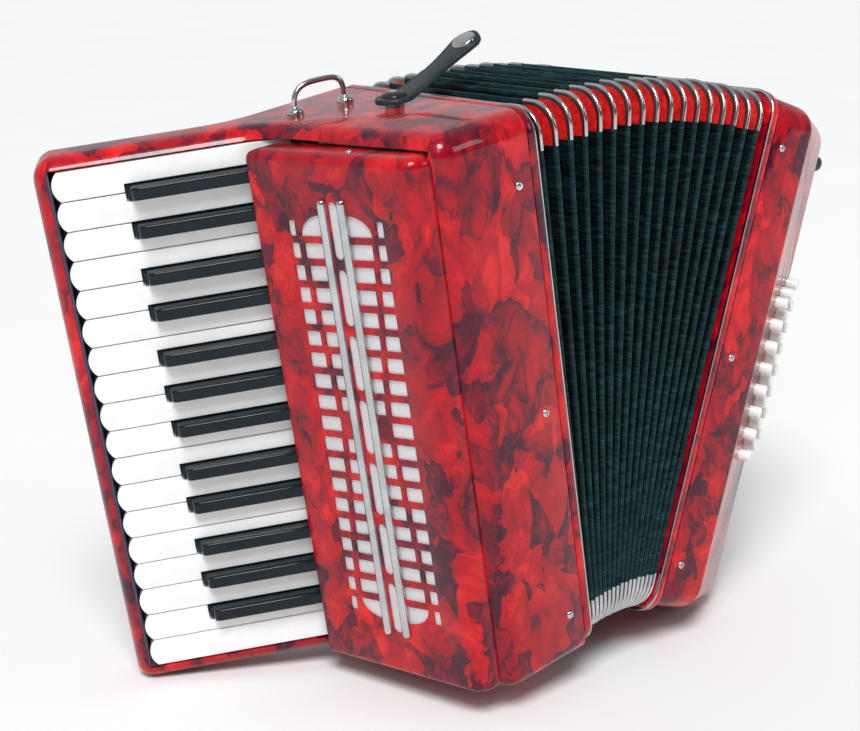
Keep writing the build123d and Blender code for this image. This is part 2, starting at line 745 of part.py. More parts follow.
def main():
    nodes, stance = stand(bodies())
    for name, solids in nodes.items():
        export_step(Compound(children=solids), f"parts/{name}.step")
    low, high = extent(nodes)
    size = high - low
    print(f"{len(nodes)} nodes, lean {LEAN:.2f} degrees, box {size.X:.1f} x {size.Y:.1f} x {size.Z:.1f}")
    print(f"stance {stance.position} {stance.orientation}")


if __name__ == "__main__":
    main()
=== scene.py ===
import json
from math import atan2, cos, hypot, pi, radians, sin, sqrt, tan

import bmesh
import bpy
from mathutils import Matrix, Vector

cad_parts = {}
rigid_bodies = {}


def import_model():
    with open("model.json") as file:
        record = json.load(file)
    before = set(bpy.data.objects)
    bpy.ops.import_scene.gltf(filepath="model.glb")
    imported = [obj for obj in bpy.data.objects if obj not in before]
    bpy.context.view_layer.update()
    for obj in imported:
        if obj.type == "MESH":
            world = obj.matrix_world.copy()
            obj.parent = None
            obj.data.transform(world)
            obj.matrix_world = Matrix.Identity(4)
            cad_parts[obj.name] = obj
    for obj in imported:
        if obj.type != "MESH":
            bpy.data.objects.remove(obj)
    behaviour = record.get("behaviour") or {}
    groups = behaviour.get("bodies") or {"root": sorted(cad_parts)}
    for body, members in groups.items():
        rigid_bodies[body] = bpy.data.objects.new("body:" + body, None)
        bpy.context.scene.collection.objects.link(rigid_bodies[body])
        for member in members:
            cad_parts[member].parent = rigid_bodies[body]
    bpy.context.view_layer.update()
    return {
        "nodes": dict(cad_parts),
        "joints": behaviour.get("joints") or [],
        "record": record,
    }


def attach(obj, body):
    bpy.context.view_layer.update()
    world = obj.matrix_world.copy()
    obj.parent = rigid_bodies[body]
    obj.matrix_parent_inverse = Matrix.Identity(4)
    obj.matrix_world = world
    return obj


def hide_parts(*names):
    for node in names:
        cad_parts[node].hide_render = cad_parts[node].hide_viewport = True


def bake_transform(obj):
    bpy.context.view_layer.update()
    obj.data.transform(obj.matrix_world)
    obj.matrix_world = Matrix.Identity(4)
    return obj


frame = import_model()

# A red pearloid piano accordion. Shapes are drawn in millimetres, upright and with the bellows closed:
# X from the keyboard side to the bass side, Y from the front to the player, Z up.
# PLACES then takes each body's drawing to where that body stands, in metres.
MM = 0.001
BODY_HEIGHT = 360.0
BODY_DEPTH = 184.0

# keyboard: u runs along a key to its free end, n up from the key tops
WHITE_NOTES = "GABCDEFGABCDEFGABC"
WHITE_PITCH = 19.0
WHITE_LENGTH = 117.7
WHITE_THICK = 12.0
KEY_GAP = 0.8
KEY_TAIL = 30.0
KEYS_TOP = 352.0
WHITE_SCALLOP = 4.0
BLACK_LENGTH = 73.5
BLACK_RISE = 8.5
BLACK_HALF_BASE = 4.8
BLACK_HALF_TOP = 4.1
BLACK_SHIFTS = {"C": -2.4, "D": 2.4, "F": -5.3, "G": 0.0, "A": 5.3}
BLACK_SLOT = 11.2
KEYBOARD_TURN = radians(33.7)
KEYBOARD_X = -36.5
KEYBOARD_Y = 143.8
WING_THICK = 42.0
WING_LENGTH = 128.7
RECESS_END = 120.2
LEVER_X = -6.5
BOARD_X = 4.0
WHITE_PAD_Y = 44.0
BLACK_PAD_Y = 86.0

# treble case and grille
CASE_SEAM = 66.0
CASE_RADII = (0, 14.0, 40.0, 12.0, 12.0, 60.0, 0)
CASE_FRONT_X = -2.0
FACE_END_X = -24.0
BEYOND_SEAM = 20.0
CAVITY_X = -60.0
CAVITY_Y = 130.0
CAVITY_BACK_X = -14.0
TOP_EDGE = 14.0
BOTTOM_EDGE = 9.0
SHELL = 6.0
GRILLE_TURN = radians(11.2)
GRILLE_X = -18.2
GRILLE_Y = 7.5
GRILLE_LENGTH = 130.0
GRILLE_RISE = 15.0
GRILLE_SKIN = 1.3
GRILLE_LOW = 3.0
GRILLE_HIGH = 351.0
PATTERN_S = 64.0
PATTERN_Z = 178.0
SLOT_ROWS = 19
SLOT_PITCH = 14.2
SLOT_HEIGHT = 9.9
SLOT_EDGE = 37.5
SLOT_NARROW = 5.4
SLOT_WIDE = 17.0
SLOT_RIB = 3.7
ROW_SLOPE = 0.06
END_SLOT_RISE = 3.6
ROD_OFFSET = 7.7
ROD_RADIUS = 3.0
ROD_LENGTH = 292.0
OBLONG_COUNT = 7
OBLONG_PITCH = 42.1
OBLONG_SIZE = (7.0, 36.0)

# bellows
BELLOWS_X = 73.0
FOLD_PITCH = 3.2
FOLD_RISE = 0.53
FOLD_COUNT = 17
FOLD_BODIES = 8
LAST_HINGE = FOLD_BODIES + 1
FOLD_INSET = 3.0
FOLD_DEPTH = 20.0
RIDGE_HALF = 1.25
MOUTH_RADIUS = 18.0
CORNER_SPAN = 29.0
FRAME_RADIUS = 17.0
BASS_SEAM = BELLOWS_X + FOLD_COUNT * FOLD_PITCH + 7.0

# bass side, from its own seam
BASS_FACE = 38.0
BASS_BEVEL = (60.5, 34.0)
BASS_SCREW_X = 11.0
BUTTON_ROW_START = 28.0
BASS_THICK = 98.5
BASS_LOW = 4.0
BASS_HIGH = 358.0
BASS_EDGE = 18.0
BUTTON_ROWS = 3
BUTTON_COLUMNS = 8
BUTTON_PITCH = 15.6
BUTTON_ROW_STEP = 14.5
BUTTON_STAGGER = 7.8
BUTTON_LOWEST = 116.5
BUTTON_RADIUS = 4.0
BUTTON_RISE = 8.0
AIR_Y = 42.0
AIR_Z = 330.0
AIR_RADIUS = 5.6

# fittings
HAND_STRAP_Y = 114.0
BRACKET_X = 6.5
BRACKET_Y = 144.0
BRACKET_TURN = radians(-13.0)
SCREW_RADIUS = 2.8
TREBLE_SCREW_X = 54.7


# ---- where the bodies stand ----
TO_PLAYER = Vector((0, 1, 0))
joints = {joint["name"]: joint for joint in frame["joints"]}
mounts = {mount["name"]: Vector(mount["pos_m"]) for mount in frame["record"]["mounts"]}


def drawing_place(anchor, closed_x, upright, height=0.0):
    """Takes the drawing to a body, from where its point (closed_x, middle, height) is and which way is up."""
    across = TO_PLAYER.cross(upright)
    turned = Matrix((across, TO_PLAYER, upright)).transposed().to_4x4()
    origin = anchor - (across * closed_x + TO_PLAYER * BODY_DEPTH / 2 + upright * height) * MM
    return Matrix.Translation(origin) @ turned @ Matrix.Scale(MM, 4)


def bellows_body(k):
    """The bodies from the treble case (0) through the folds to the bass side (9)."""
    if k == 0:
        return "root"
    return f"bellows_fold_{k}" if k <= FOLD_BODIES else "bass"


def body_places():
    treble_up = (mounts["top_strap_loop"] - mounts["bottom_strap_loop"]).normalized()
    bass_across = -Vector(joints["air_button_press"]["axis"])
    opened = TO_PLAYER.cross(treble_up).angle(bass_across)
    hinges = [Vector(joints[f"bellows_hinge_{k}"]["pos_m"]) for k in range(1, LAST_HINGE + 1)]
    places = {"root": drawing_place(hinges[0], BELLOWS_X, treble_up, FOLD_RISE)}
    for k, hinge in enumerate(hinges, 1):
        turn = Matrix.Rotation(opened * (2 * k - 1) / FOLD_COUNT, 3, "Y")
        places[bellows_body(k)] = drawing_place(hinge, BELLOWS_X + 2 * (k - 1) * FOLD_PITCH, turn @ treble_up)
    for joint in joints.values():
        if joint["child"] not in places:
            places[joint["child"]] = places[joint["parent"]]
    return places


def seat(x, y, z, turn=0.0, axis="Z"):
    return Matrix.Translation((x, y, z)) @ Matrix.Rotation(turn, 4, axis)


def plane_place(x, y, along, out):
    """A frame on a flat face: s runs along it, then up, then out of it."""
    return Matrix.Translation((x, y, 0)) @ Matrix((along, UP, out)).transposed().to_4x4()


PLACES = body_places()
FOLD_SLOPE = tan(TO_PLAYER.cross(PLACES["root"].to_3x3().col[2]).angle(
    TO_PLAYER.cross(PLACES["bass"].to_3x3().col[2])) / FOLD_COUNT)
UP = Vector((0, 0, 1))
ALONG = Vector((-cos(KEYBOARD_TURN), sin(KEYBOARD_TURN), 0))
ABOVE = Vector((-sin(KEYBOARD_TURN), -cos(KEYBOARD_TURN), 0))
KEYBOARD = plane_place(KEYBOARD_X, KEYBOARD_Y, ALONG, ABOVE)
FACE_ALONG = Vector((-sin(GRILLE_TURN), cos(GRILLE_TURN), 0))
FACE_OUT = Vector((-cos(GRILLE_TURN), -sin(GRILLE_TURN), 0))
GRILLE = plane_place(GRILLE_X, GRILLE_Y, FACE_ALONG, FACE_OUT)
BEVEL_LENGTH = hypot(*BASS_BEVEL)
BEVEL_ALONG = Vector((BASS_BEVEL[0], BASS_BEVEL[1], 0)) / BEVEL_LENGTH
BEVEL_OUT = Vector((BASS_BEVEL[1], -BASS_BEVEL[0], 0)) / BEVEL_LENGTH
BOARD = plane_place(BASS_SEAM + BASS_FACE, 0, BEVEL_ALONG, BEVEL_OUT)
AIR_SEAT = seat(BASS_SEAM + BASS_THICK, AIR_Y, AIR_Z, pi / 2, "Y")


def on_keyboard(u, n):
    point = KEYBOARD @ Vector((u, 0, n))
    return (point.x, point.y)


def on_grille(s, depth):
    point = GRILLE @ Vector((s, 0, -depth))
    return (point.x, point.y)


# ---- materials ----
class Shader:
    """A material's node tree, with short ways to add nodes and to join them."""

    def __init__(self, name, **values):
        self.material = bpy.data.materials.new(name)
        self.material.use_nodes = True
        self.tree = self.material.node_tree
        self.surface = self.tree.nodes["Principled BSDF"]
        for socket, value in values.items():
            self.surface.inputs[socket.replace("_", " ")].default_value = value
        self.coords = self.add("ShaderNodeTexCoord").outputs["Object"]

    def add(self, kind, **settings):
        node = self.tree.nodes.new(kind)
        for key, value in settings.items():
            if key in node.inputs:
                node.inputs[key].default_value = value
            else:
                setattr(node, key, value)
        return node

    def join(self, output, node, socket):
        self.tree.links.new(output, node.inputs[socket])
        return node

    def mapped(self, **settings):
        """The object's coordinates moved, turned or stretched."""
        return self.join(self.coords, self.add("ShaderNodeMapping", **settings), "Vector").outputs["Vector"]

    def noise(self, scale, detail=4.0, distortion=0.0, vector=None, roughness=0.5, output="Fac"):
        settings = dict(Scale=scale, Detail=detail, Distortion=distortion, Roughness=roughness)
        node = self.add("ShaderNodeTexNoise", **settings)
        return self.join(vector or self.coords, node, "Vector").outputs[output]

    def ramp(self, value, stops):
        node = self.join(value, self.add("ShaderNodeValToRGB"), "Fac")
        elements = node.color_ramp.elements
        while len(elements) < len(stops):
            elements.new(0.5)
        for element, (place, colour) in zip(elements, stops):
            element.position = place
            element.color = (*colour, 1.0)
        return node.outputs["Color"]

    def span(self, value, low, high):
        """A value from 0 to 1 taken to a range."""
        node = self.add("ShaderNodeMapRange")
        node.inputs["To Min"].default_value = low
        node.inputs["To Max"].default_value = high
        return self.join(value, node, "Value").outputs["Result"]

    def maths(self, operation, first, second, kind="ShaderNodeMath"):
        node = self.add(kind, operation=operation)
        for index, value in enumerate((first, second)):
            if isinstance(value, bpy.types.NodeSocket):
                self.tree.links.new(value, node.inputs[index])
            else:
                node.inputs[index].default_value = value
        return node.outputs[0]

    def weighted(self, *shares):
        """The sum of values, each times its share."""
        total = 0.0
        for value, share in shares:
            total = self.maths("ADD", total, self.maths("MULTIPLY", value, share))
        return total

    def finish(self, tone, stops, wear, low, high, relief=None):
        """Colour from tone, roughness from wear, and a relief of (height, strength, depth)."""
        self.join(self.ramp(tone, stops), self.surface, "Base Color")
        self.join(self.span(wear, low, high), self.surface, "Roughness")
        if relief:
            height, strength, depth = relief
            bump = self.join(height, self.add("ShaderNodeBump", Strength=strength, Distance=depth), "Height")
            self.join(bump.outputs["Normal"], self.surface, "Normal")
        return self.material


def pearloid(name, seed_shift):
    """Folded flakes of bright red and wine under a thick clear gloss."""
    shader = Shader(name, Coat_Weight=0.55, Coat_Roughness=0.04, Specular_IOR_Level=0.12)
    base = shader.mapped(Location=seed_shift, Scale=(1.25, 1.25, 0.95), Rotation=(0.35, 0.5, 0.2))
    bend = shader.noise(19.0, 3.0, 0.9, base, output="Color")
    centred = shader.maths("SUBTRACT", bend, (0.5,) * 3, "ShaderNodeVectorMath")
    scaled = shader.maths("MULTIPLY", centred, (0.06,) * 3, "ShaderNodeVectorMath")
    warped = shader.maths("ADD", base, scaled, "ShaderNodeVectorMath")
    flakes = shader.join(warped, shader.add("ShaderNodeTexVoronoi", Scale=46.0, Randomness=1.0), "Vector")
    tone = shader.join(flakes.outputs["Color"], shader.add("ShaderNodeSeparateColor"), 0).outputs["Red"]
    clouds = shader.noise(44.0, 6.0, 2.2, warped, 0.6)
    drifts = shader.noise(9.0, 2.0, 0.6, base)
    whole = shader.weighted((tone, 0.42), (flakes.outputs["Distance"], -0.32), (clouds, 0.75), (drifts, 0.3))
    stops = [
        (0.32, (0.055, 0.001, 0.014)),
        (0.44, (0.15, 0.001, 0.014)),
        (0.56, (0.31, 0.001, 0.010)),
        (0.72, (0.44, 0.001, 0.008)),
        (0.92, (0.69, 0.012, 0.012)),
    ]
    return shader.finish(whole, stops, clouds, 0.22, 0.42)


def glossy_plastic(name, dark, light, gloss=0.12, coat=0.8):
    shader = Shader(name, Coat_Weight=coat, Coat_Roughness=0.05, IOR=1.5, Specular_IOR_Level=coat / 2)
    stops = [(0.3, dark), (0.7, light)]
    relief = (shader.noise(900.0, 2.0), 0.04, 0.0002)
    smears = shader.noise(35.0, 5.0, 0.4)
    return shader.finish(shader.noise(60.0, 3.0), stops, smears, gloss, gloss + 0.16, relief)


def bright_metal(name, dark, light, roughness):
    shader = Shader(name, Metallic=1.0)
    stops = [(0.3, dark), (0.7, light)]
    relief = (shader.noise(400.0, 2.0), 0.02, 0.0001)
    wear = shader.noise(120.0, 6.0)
    return shader.finish(shader.noise(70.0), stops, wear, roughness, roughness + 0.14, relief)


def bellows_cloth(name, dark, light, sheen):
    """Black bookcloth: a fine weave over creases that run across the folds, with the raised crease lines
    painted lighter teal as painted highlights.
    """
    tint = (0.45, 0.75, 0.78, 1.0)
    shader = Shader(name, Sheen_Weight=sheen, Sheen_Roughness=0.45, Sheen_Tint=tint, Specular_IOR_Level=0.12)
    creases = shader.noise(1.0, 5.0, 1.2, shader.mapped(Scale=(60.0, 60.0, 420.0)), 0.62)
    lines = shader.weighted((creases, 0.8), (shader.noise(2600.0, 2.0), 0.2))
    # the light stop is painted highlight: it lightens the raised crease lines to teal
    return shader.finish(lines, [(0.46, dark), (0.66, light)], creases, 0.5, 0.8, (lines, 0.55, 0.0009))


def leather(name, dark, light):
    shader = Shader(name, Coat_Weight=0.2, Coat_Roughness=0.25, Specular_IOR_Level=0.25)
    pores = shader.join(shader.coords, shader.add("ShaderNodeTexVoronoi", Scale=1300.0), "Vector")
    wear = shader.noise(80.0, 6.0, 0.6)
    relief = (pores.outputs["Distance"], 0.3, 0.0003)
    return shader.finish(wear, [(0.35, dark), (0.75, light)], wear, 0.32, 0.5, relief)


def silver_mesh(name):
    """Woven silver grille cloth: fine crossing threads with a scatter of brighter ones."""
    shader = Shader(name, Metallic=0.3)
    level = shader.mapped(Rotation=(0, 0, -GRILLE_TURN))
    waves = []
    for direction in ("Y", "Z"):
        wave = shader.add("ShaderNodeTexWave", bands_direction=direction, Scale=420.0, Distortion=1.5)
        waves.append(shader.join(level, wave, "Vector").outputs["Fac"])
    speckle = shader.noise(1500.0, 3.0, roughness=0.7)
    mixed = shader.weighted((shader.maths("MULTIPLY", *waves), 0.45), (speckle, 0.6))
    stops = [(0.2, (0.50, 0.50, 0.52)), (0.6, (0.95, 0.95, 0.96))]
    return shader.finish(mixed, stops, speckle, 0.35, 0.6, (mixed, 0.5, 0.0004))


def planed_wood(name, dark, light):
    shader = Shader(name)
    grain = shader.noise(1.0, 6.0, 0.4, shader.mapped(Scale=(260.0, 260.0, 14.0)), 0.6)
    return shader.finish(grain, [(0.35, dark), (0.68, light)], grain, 0.5, 0.75, (grain, 0.3, 0.0004))


def felt(name, dark, light):
    shader = Shader(name, Sheen_Weight=0.4, Sheen_Roughness=0.6)
    fibres = shader.noise(1500.0, 4.0, 0.8, roughness=0.7)
    return shader.finish(fibres, [(0.35, dark), (0.7, light)], fibres, 0.75, 0.95, (fibres, 0.5, 0.0005))


def red_card(name):
    """The saturated red leathercloth of the bellows' corners."""
    shader = Shader(name, Coat_Weight=0.35, Coat_Roughness=0.25)
    creases = shader.noise(240.0, 5.0, 1.0)
    stops = [(0.3, (0.42, 0.006, 0.008)), (0.7, (0.86, 0.022, 0.018))]
    return shader.finish(creases, stops, creases, 0.3, 0.5, (creases, 0.25, 0.0004))


RED = pearloid("red_pearloid", (0.0, 0.0, 0.0))
RED_GRILLE = pearloid("red_pearloid_grille", (0.31, 0.17, 0.05))
RED_BASS = pearloid("red_pearloid_bass", (0.13, 0.42, 0.27))
RED_FRAME = pearloid("red_pearloid_frame", (0.53, 0.08, 0.61))
IVORY = glossy_plastic("white_key_plastic", (0.86, 0.86, 0.85), (0.93, 0.93, 0.925))
EBONY = glossy_plastic("black_key_plastic", (0.001, 0.005, 0.009), (0.002, 0.010, 0.016), 0.1, 0.3)
BUTTON = glossy_plastic("bass_button_plastic", (0.78, 0.78, 0.74), (0.88, 0.88, 0.85), 0.2)
BLACK_PLASTIC = glossy_plastic("black_plastic", (0.008, 0.01, 0.011), (0.02, 0.024, 0.026), 0.3, 0.3)
CHROME = bright_metal("chrome", (0.44, 0.46, 0.47), (0.62, 0.63, 0.64), 0.10)
DULL_CHROME = bright_metal("chrome_flange", (0.14, 0.14, 0.14), (0.27, 0.28, 0.28), 0.32)
STEEL = bright_metal("steel", (0.40, 0.40, 0.41), (0.55, 0.55, 0.56), 0.28)
# the bellows cloth: black, with painted teal highlights on its raised crease lines
CLOTH = bellows_cloth("bellows_cloth", (0.0006, 0.0012, 0.0016), (0.005, 0.024, 0.028), 0.0)
# a lighter teal copy of the cloth for the ridge tapes: painted highlight where the ridges catch the light
RIDGE_CLOTH_PAINTED_HIGHLIGHT = bellows_cloth("bellows_ridge_cloth_painted_highlight", (0.002, 0.014, 0.017), (0.018, 0.060, 0.066), 0.1)
CARD = red_card("bellows_corner_card")
LEATHER = leather("black_leather", (0.008, 0.014, 0.017), (0.026, 0.036, 0.042))
MESH_CLOTH = silver_mesh("silver_mesh")
WOOD = planed_wood("planed_wood", (0.42, 0.26, 0.13), (0.66, 0.46, 0.27))
DARK_FELT = felt("dark_blue_felt", (0.006, 0.007, 0.06), (0.016, 0.018, 0.14))
SEAM_FELT = felt("seam_felt", (0.003, 0.003, 0.003), (0.012, 0.010, 0.010))


# ---- mesh helpers ----
def unit(x, y):
    size = hypot(x, y)
    return (x / size, y / size)


def outline_ring(corners, radii, inset, steps=7):
    """A closed outline moved inwards, with its corners rounded as arcs. A radius of 0 keeps one sharp."""
    ahead = corners[1:] + corners[:1]
    side = 1 if sum(a[0] * b[1] - b[0] * a[1] for a, b in zip(corners, ahead)) > 0 else -1
    ways = [unit(b[0] - a[0], b[1] - a[1]) for a, b in zip(corners, ahead)]
    points = []
    for (x, y), u, v, radius in zip(corners, ways[-1:] + ways[:-1], ways, radii):
        along = u[0] * v[0] + u[1] * v[1]
        cross = u[0] * v[1] - u[1] * v[0]
        share = inset * side / (1 + along)
        x, y = x - (u[1] + v[1]) * share, y + (u[0] + v[0]) * share
        if not radius:
            points.append((x, y))
            continue
        radius = max(radius - inset, 0.4) if cross * side > 0 else radius + inset
        swing = atan2(cross, along)
        reach = radius * tan(abs(swing) / 2)
        start = (x - u[0] * reach, y - u[1] * reach)
        spin = 1 if cross > 0 else -1
        arm = (u[1] * radius * spin, -u[0] * radius * spin)
        centre = (start[0] - arm[0], start[1] - arm[1])
        for step in range(steps + 1):
            a = swing * step / steps
            points.append((
                centre[0] + arm[0] * cos(a) - arm[1] * sin(a),
                centre[1] + arm[0] * sin(a) + arm[1] * cos(a),
            ))
    return points


def rounded_levels(low, high, low_edge, high_edge, steps=6):
    """(inset, height) pairs up the side of a plate whose rims are rounded."""
    levels = []
    for edge, start, way in ((low_edge, low, 1), (high_edge, high, -1)):
        arc = [(edge * (1 - sin(a)), start + way * edge * (1 - cos(a)))
               for a in (radians(90 * i / steps) for i in range(steps + 1))] if edge else [(0, start)]
        levels += arc if way == 1 else arc[::-1]
    return levels


def skin(bm, rings, cap=True, closed=False, material=0, choose=None):
    """Faces between rings of points, with the end rings capped, or joined to each other when closed.

    choose gives a face's material from its row and its place in the row.
    """
    verts = [[bm.verts.new(point) for point in ring] for ring in rings]
    count = len(verts[0])
    above = verts[1:] + verts[:1] if closed else verts[1:]
    for row, (lower, upper) in enumerate(zip(verts, above)):
        for i in range(count):
            j = (i + 1) % count
            face = bm.faces.new((lower[i], lower[j], upper[j], upper[i]))
            face.material_index = choose(row, i) if choose else material
    if cap and not closed:
        for ring in (verts[0], verts[-1]):
            bm.faces.new(ring).material_index = material


def plate(bm, corners, radii, low, high, low_edge=0.0, high_edge=0.0, steps=7, material=0):
    """An upright closed solid on an outline, with rounded rims."""
    rings = []
    for inset, z in rounded_levels(low, high, low_edge, high_edge):
        rings.append([(x, y, z) for x, y in outline_ring(corners, radii, inset, steps)])
    skin(bm, rings, material=material)


def cuboid(bm, x, y, z, edge=0.0, material=0):
    corners = [(x[0], y[0]), (x[1], y[0]), (x[1], y[1]), (x[0], y[1])]
    plate(bm, corners, (0, 0, 0, 0), z[0], z[1], edge, edge, material=material)


def lathe(bm, profile, place, segments=24, material=0):
    """A solid of revolution from (radius, height) pairs, open ends closed at the axis."""
    spokes = [(cos(2 * pi * i / segments), sin(2 * pi * i / segments)) for i in range(segments)]
    rings = []
    for radius, height in profile:
        rings.append([place @ Vector((radius * c, radius * s, height)) for c, s in spokes])
    skin(bm, rings, material=material)


def to_object(name, bm, materials, drawn=None):
    """A new object from a mesh under construction."""
    if drawn is not None:
        bm.transform(drawn)
    bmesh.ops.recalc_face_normals(bm, faces=bm.faces)
    mesh = bpy.data.meshes.new(name)
    bm.to_mesh(mesh)
    bm.free()
    for material in materials:
        mesh.materials.append(material)
    obj = bpy.data.objects.new(name, mesh)
    bpy.context.scene.collection.objects.link(obj)
    return obj


def plate_object(name, material, *shape, **options):
    """An object that is a single plate."""
    bm = bmesh.new()
    plate(bm, *shape, **options)
    return to_object(name, bm, [material])


def bake(obj):
    """Replace an object's mesh with what its modifiers make of it."""
    bpy.context.view_layer.update()
    evaluated = obj.evaluated_get(bpy.context.evaluated_depsgraph_get())
    obj.data = bpy.data.meshes.new_from_object(evaluated)
    obj.modifiers.clear()


def carve(obj, *cutters):
    for cutter in cutters:
        cut = obj.modifiers.new("cut", "BOOLEAN")
        cut.operation = "DIFFERENCE"
        cut.solver = "EXACT"
        cut.object = cutter
        bake(obj)
        bpy.data.objects.remove(cutter)


def soften(obj, width, segments=2, angle=38):
    """Round the hard edges a little."""
    bevel = obj.modifiers.new("edges", "BEVEL")
    bevel.width = width
    bevel.segments = segments
    bevel.limit_method = "ANGLE"
    bevel.angle_limit = radians(angle)
    bevel.use_clamp_overlap = True
    bake(obj)


def smooth(obj, angle=42):
    obj.data.shade_smooth()
    obj.data.set_sharp_from_angle(angle=radians(angle))


def install(obj, body, slot=None, replaces=(), edge=None, angle=42):
    """Smooth a drawn object, take it to its body's place and let it ride there."""
    if edge:
        soften(obj, edge)
    smooth(obj, angle)
    obj.data.transform(PLACES[body])
    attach(obj, body)
    if replaces:
        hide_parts(*replaces)
    return obj


def cut_flat(bm, x, keep_below):
    """Trim a solid at a plane of constant x and close it."""
    geometry = bm.verts[:] + bm.edges[:] + bm.faces[:]
    normal = (1, 0, 0) if keep_below else (-1, 0, 0)
    bmesh.ops.bisect_plane(bm, geom=geometry, plane_co=(x, 0, 0), plane_no=normal, clear_outer=True)
    rim = [edge for edge in bm.edges if edge.is_boundary]
    bmesh.ops.contextual_create(bm, geom=rim)


# ---- treble case ----
def case_corners(beyond=0.0):
    """The treble case from above, reaching a little beyond its seam."""
    face_end = on_keyboard((KEYBOARD_X - FACE_END_X) / cos(KEYBOARD_TURN), 0)
    back_u = (BODY_DEPTH - on_keyboard(0, -WING_THICK)[1]) / sin(KEYBOARD_TURN)
    return [
        (CASE_SEAM + beyond, 0),
        (CASE_FRONT_X, 0),
        face_end,
        on_keyboard(WING_LENGTH, 0),
        on_keyboard(WING_LENGTH, -WING_THICK),
        on_keyboard(back_u, -WING_THICK),
        (CASE_SEAM + beyond, BODY_DEPTH),
    ]


def keyboard_low():
    return KEYS_TOP - len(WHITE_NOTES) * WHITE_PITCH


def treble_shell():
    bm = bmesh.new()
    plate(bm, case_corners(BEYOND_SEAM), CASE_RADII, 0, BODY_HEIGHT, BOTTOM_EDGE, TOP_EDGE, steps=12)
    cut_flat(bm, CASE_SEAM - 0.3, True)
    shell = to_object("treble_case_shell", bm, [RED])
    seam, back = CASE_SEAM + 9, BODY_DEPTH - SHELL
    inside = [(seam, SHELL), (CAVITY_X, 12.0), (CAVITY_X, CAVITY_Y), on_keyboard(0, -WING_THICK + SHELL),
              (CAVITY_BACK_X, back), (seam, back)]
    cavity = plate_object("cavity", WOOD, inside, (0,) * 6, 8.0, BODY_HEIGHT - 8.0)
    bm = bmesh.new()
    cuboid(bm, (CAVITY_X, RECESS_END), (keyboard_low() - 0.8, KEYS_TOP + 0.8), (-WING_THICK + SHELL, 30.0))
    carve(shell, cavity, to_object("recess", bm, [RED], KEYBOARD))
    return install(shell, "root", "red_pearloid", ["treble_case"], 0.7)


def keyboard_trim():
    """The dark lining of the keyboard's recess, past the keys' free ends and under the last one."""
    bm = bmesh.new()
    low = keyboard_low() - 0.7
    cuboid(bm, (RECESS_END - 1.0, RECESS_END - 0.1), (low, KEYS_TOP + 0.7), (-20.0, -0.9))
    cuboid(bm, (40.0, RECESS_END - 1.4), (low, low + 0.5), (-20.0, -2.5))
    return install(to_object("keyboard_lining", bm, [DARK_FELT], KEYBOARD), "root", "bellows_cloth", edge=0.2)


# ---- keys ----
def black_boundaries():
    return [i + 1 for i, note in enumerate(WHITE_NOTES[:-1]) if note not in "BE"]


def black_centre(boundary):
    """A black key sits a little to one side of the gap after its white note."""
    return KEYS_TOP - boundary * WHITE_PITCH - BLACK_SHIFTS[WHITE_NOTES[boundary - 1]]


def finish_key(bm, kind, number, plastic, lever_z, pad_z, pad_y, angle):
    """Put a drawn key in its place, with the wooden bar and the felt valve pad that it lifts."""
    bm.transform(KEYBOARD)
    start, bar_end = pad_y - 11.0, on_keyboard(-KEY_TAIL + 2.0, -WHITE_THICK)[1]
    lever_back = LEVER_X + 3.0
    cuboid(bm, (LEVER_X, lever_back), (start, bar_end), (lever_z - 1.5, lever_z + 1.5), 0.3, 1)
    cuboid(bm, (lever_back, BOARD_X - 0.3), (start, pad_y + 11.0), (pad_z - 6.0, pad_z + 6.0), 0.5, 2)
    name = f"{kind}_key_{number:02d}"
    key = to_object(f"{name}_shaped", bm, [plastic, WOOD, DARK_FELT])
    return install(key, name, f"{kind}_key", [name], angle=angle)


def white_key(index):
    """A white key: round at its free end, soft along its edges, cut away beside the black keys."""
    top = KEYS_TOP - index * WHITE_PITCH - KEY_GAP / 2
    low = top - WHITE_PITCH + KEY_GAP
    notch_end = BLACK_LENGTH + 1.0
    tail_low, tail_high = low, top
    if index + 1 in black_boundaries():
        tail_low = max(low, black_centre(index + 1) + BLACK_SLOT / 2)
    if index in black_boundaries():
        tail_high = min(top, black_centre(index) - BLACK_SLOT / 2)
    middle, half = (low + top) / 2, (top - low) / 2
    arc_radius = (half ** 2 + WHITE_SCALLOP ** 2) / (2 * WHITE_SCALLOP)
    swing = atan2(half, arc_radius - WHITE_SCALLOP)
    outline = []
    for step in range(13):
        a = swing * (step / 6 - 1)
        point = (WHITE_LENGTH + arc_radius * (cos(a) - 1), middle + arc_radius * sin(a))
        outline.append((point, 0.7 if step in (0, 12) else 0))
    if tail_high < top:
        outline += [((notch_end, top), 0.8), ((notch_end, tail_high), 0)]
    outline += [((-KEY_TAIL, tail_high), 0), ((-KEY_TAIL, tail_low), 0)]
    if tail_low > low:
        outline += [((notch_end, tail_low), 0), ((notch_end, low), 0.8)]
    corners, radii = [list(column) for column in zip(*outline)]
    bm = bmesh.new()
    plate(bm, corners, radii, -WHITE_THICK, 0, 0.25, 0.6, steps=4)
    return finish_key(bm, "white", index + 1, IVORY, (tail_low + tail_high) / 2, middle, WHITE_PAD_Y, 35)


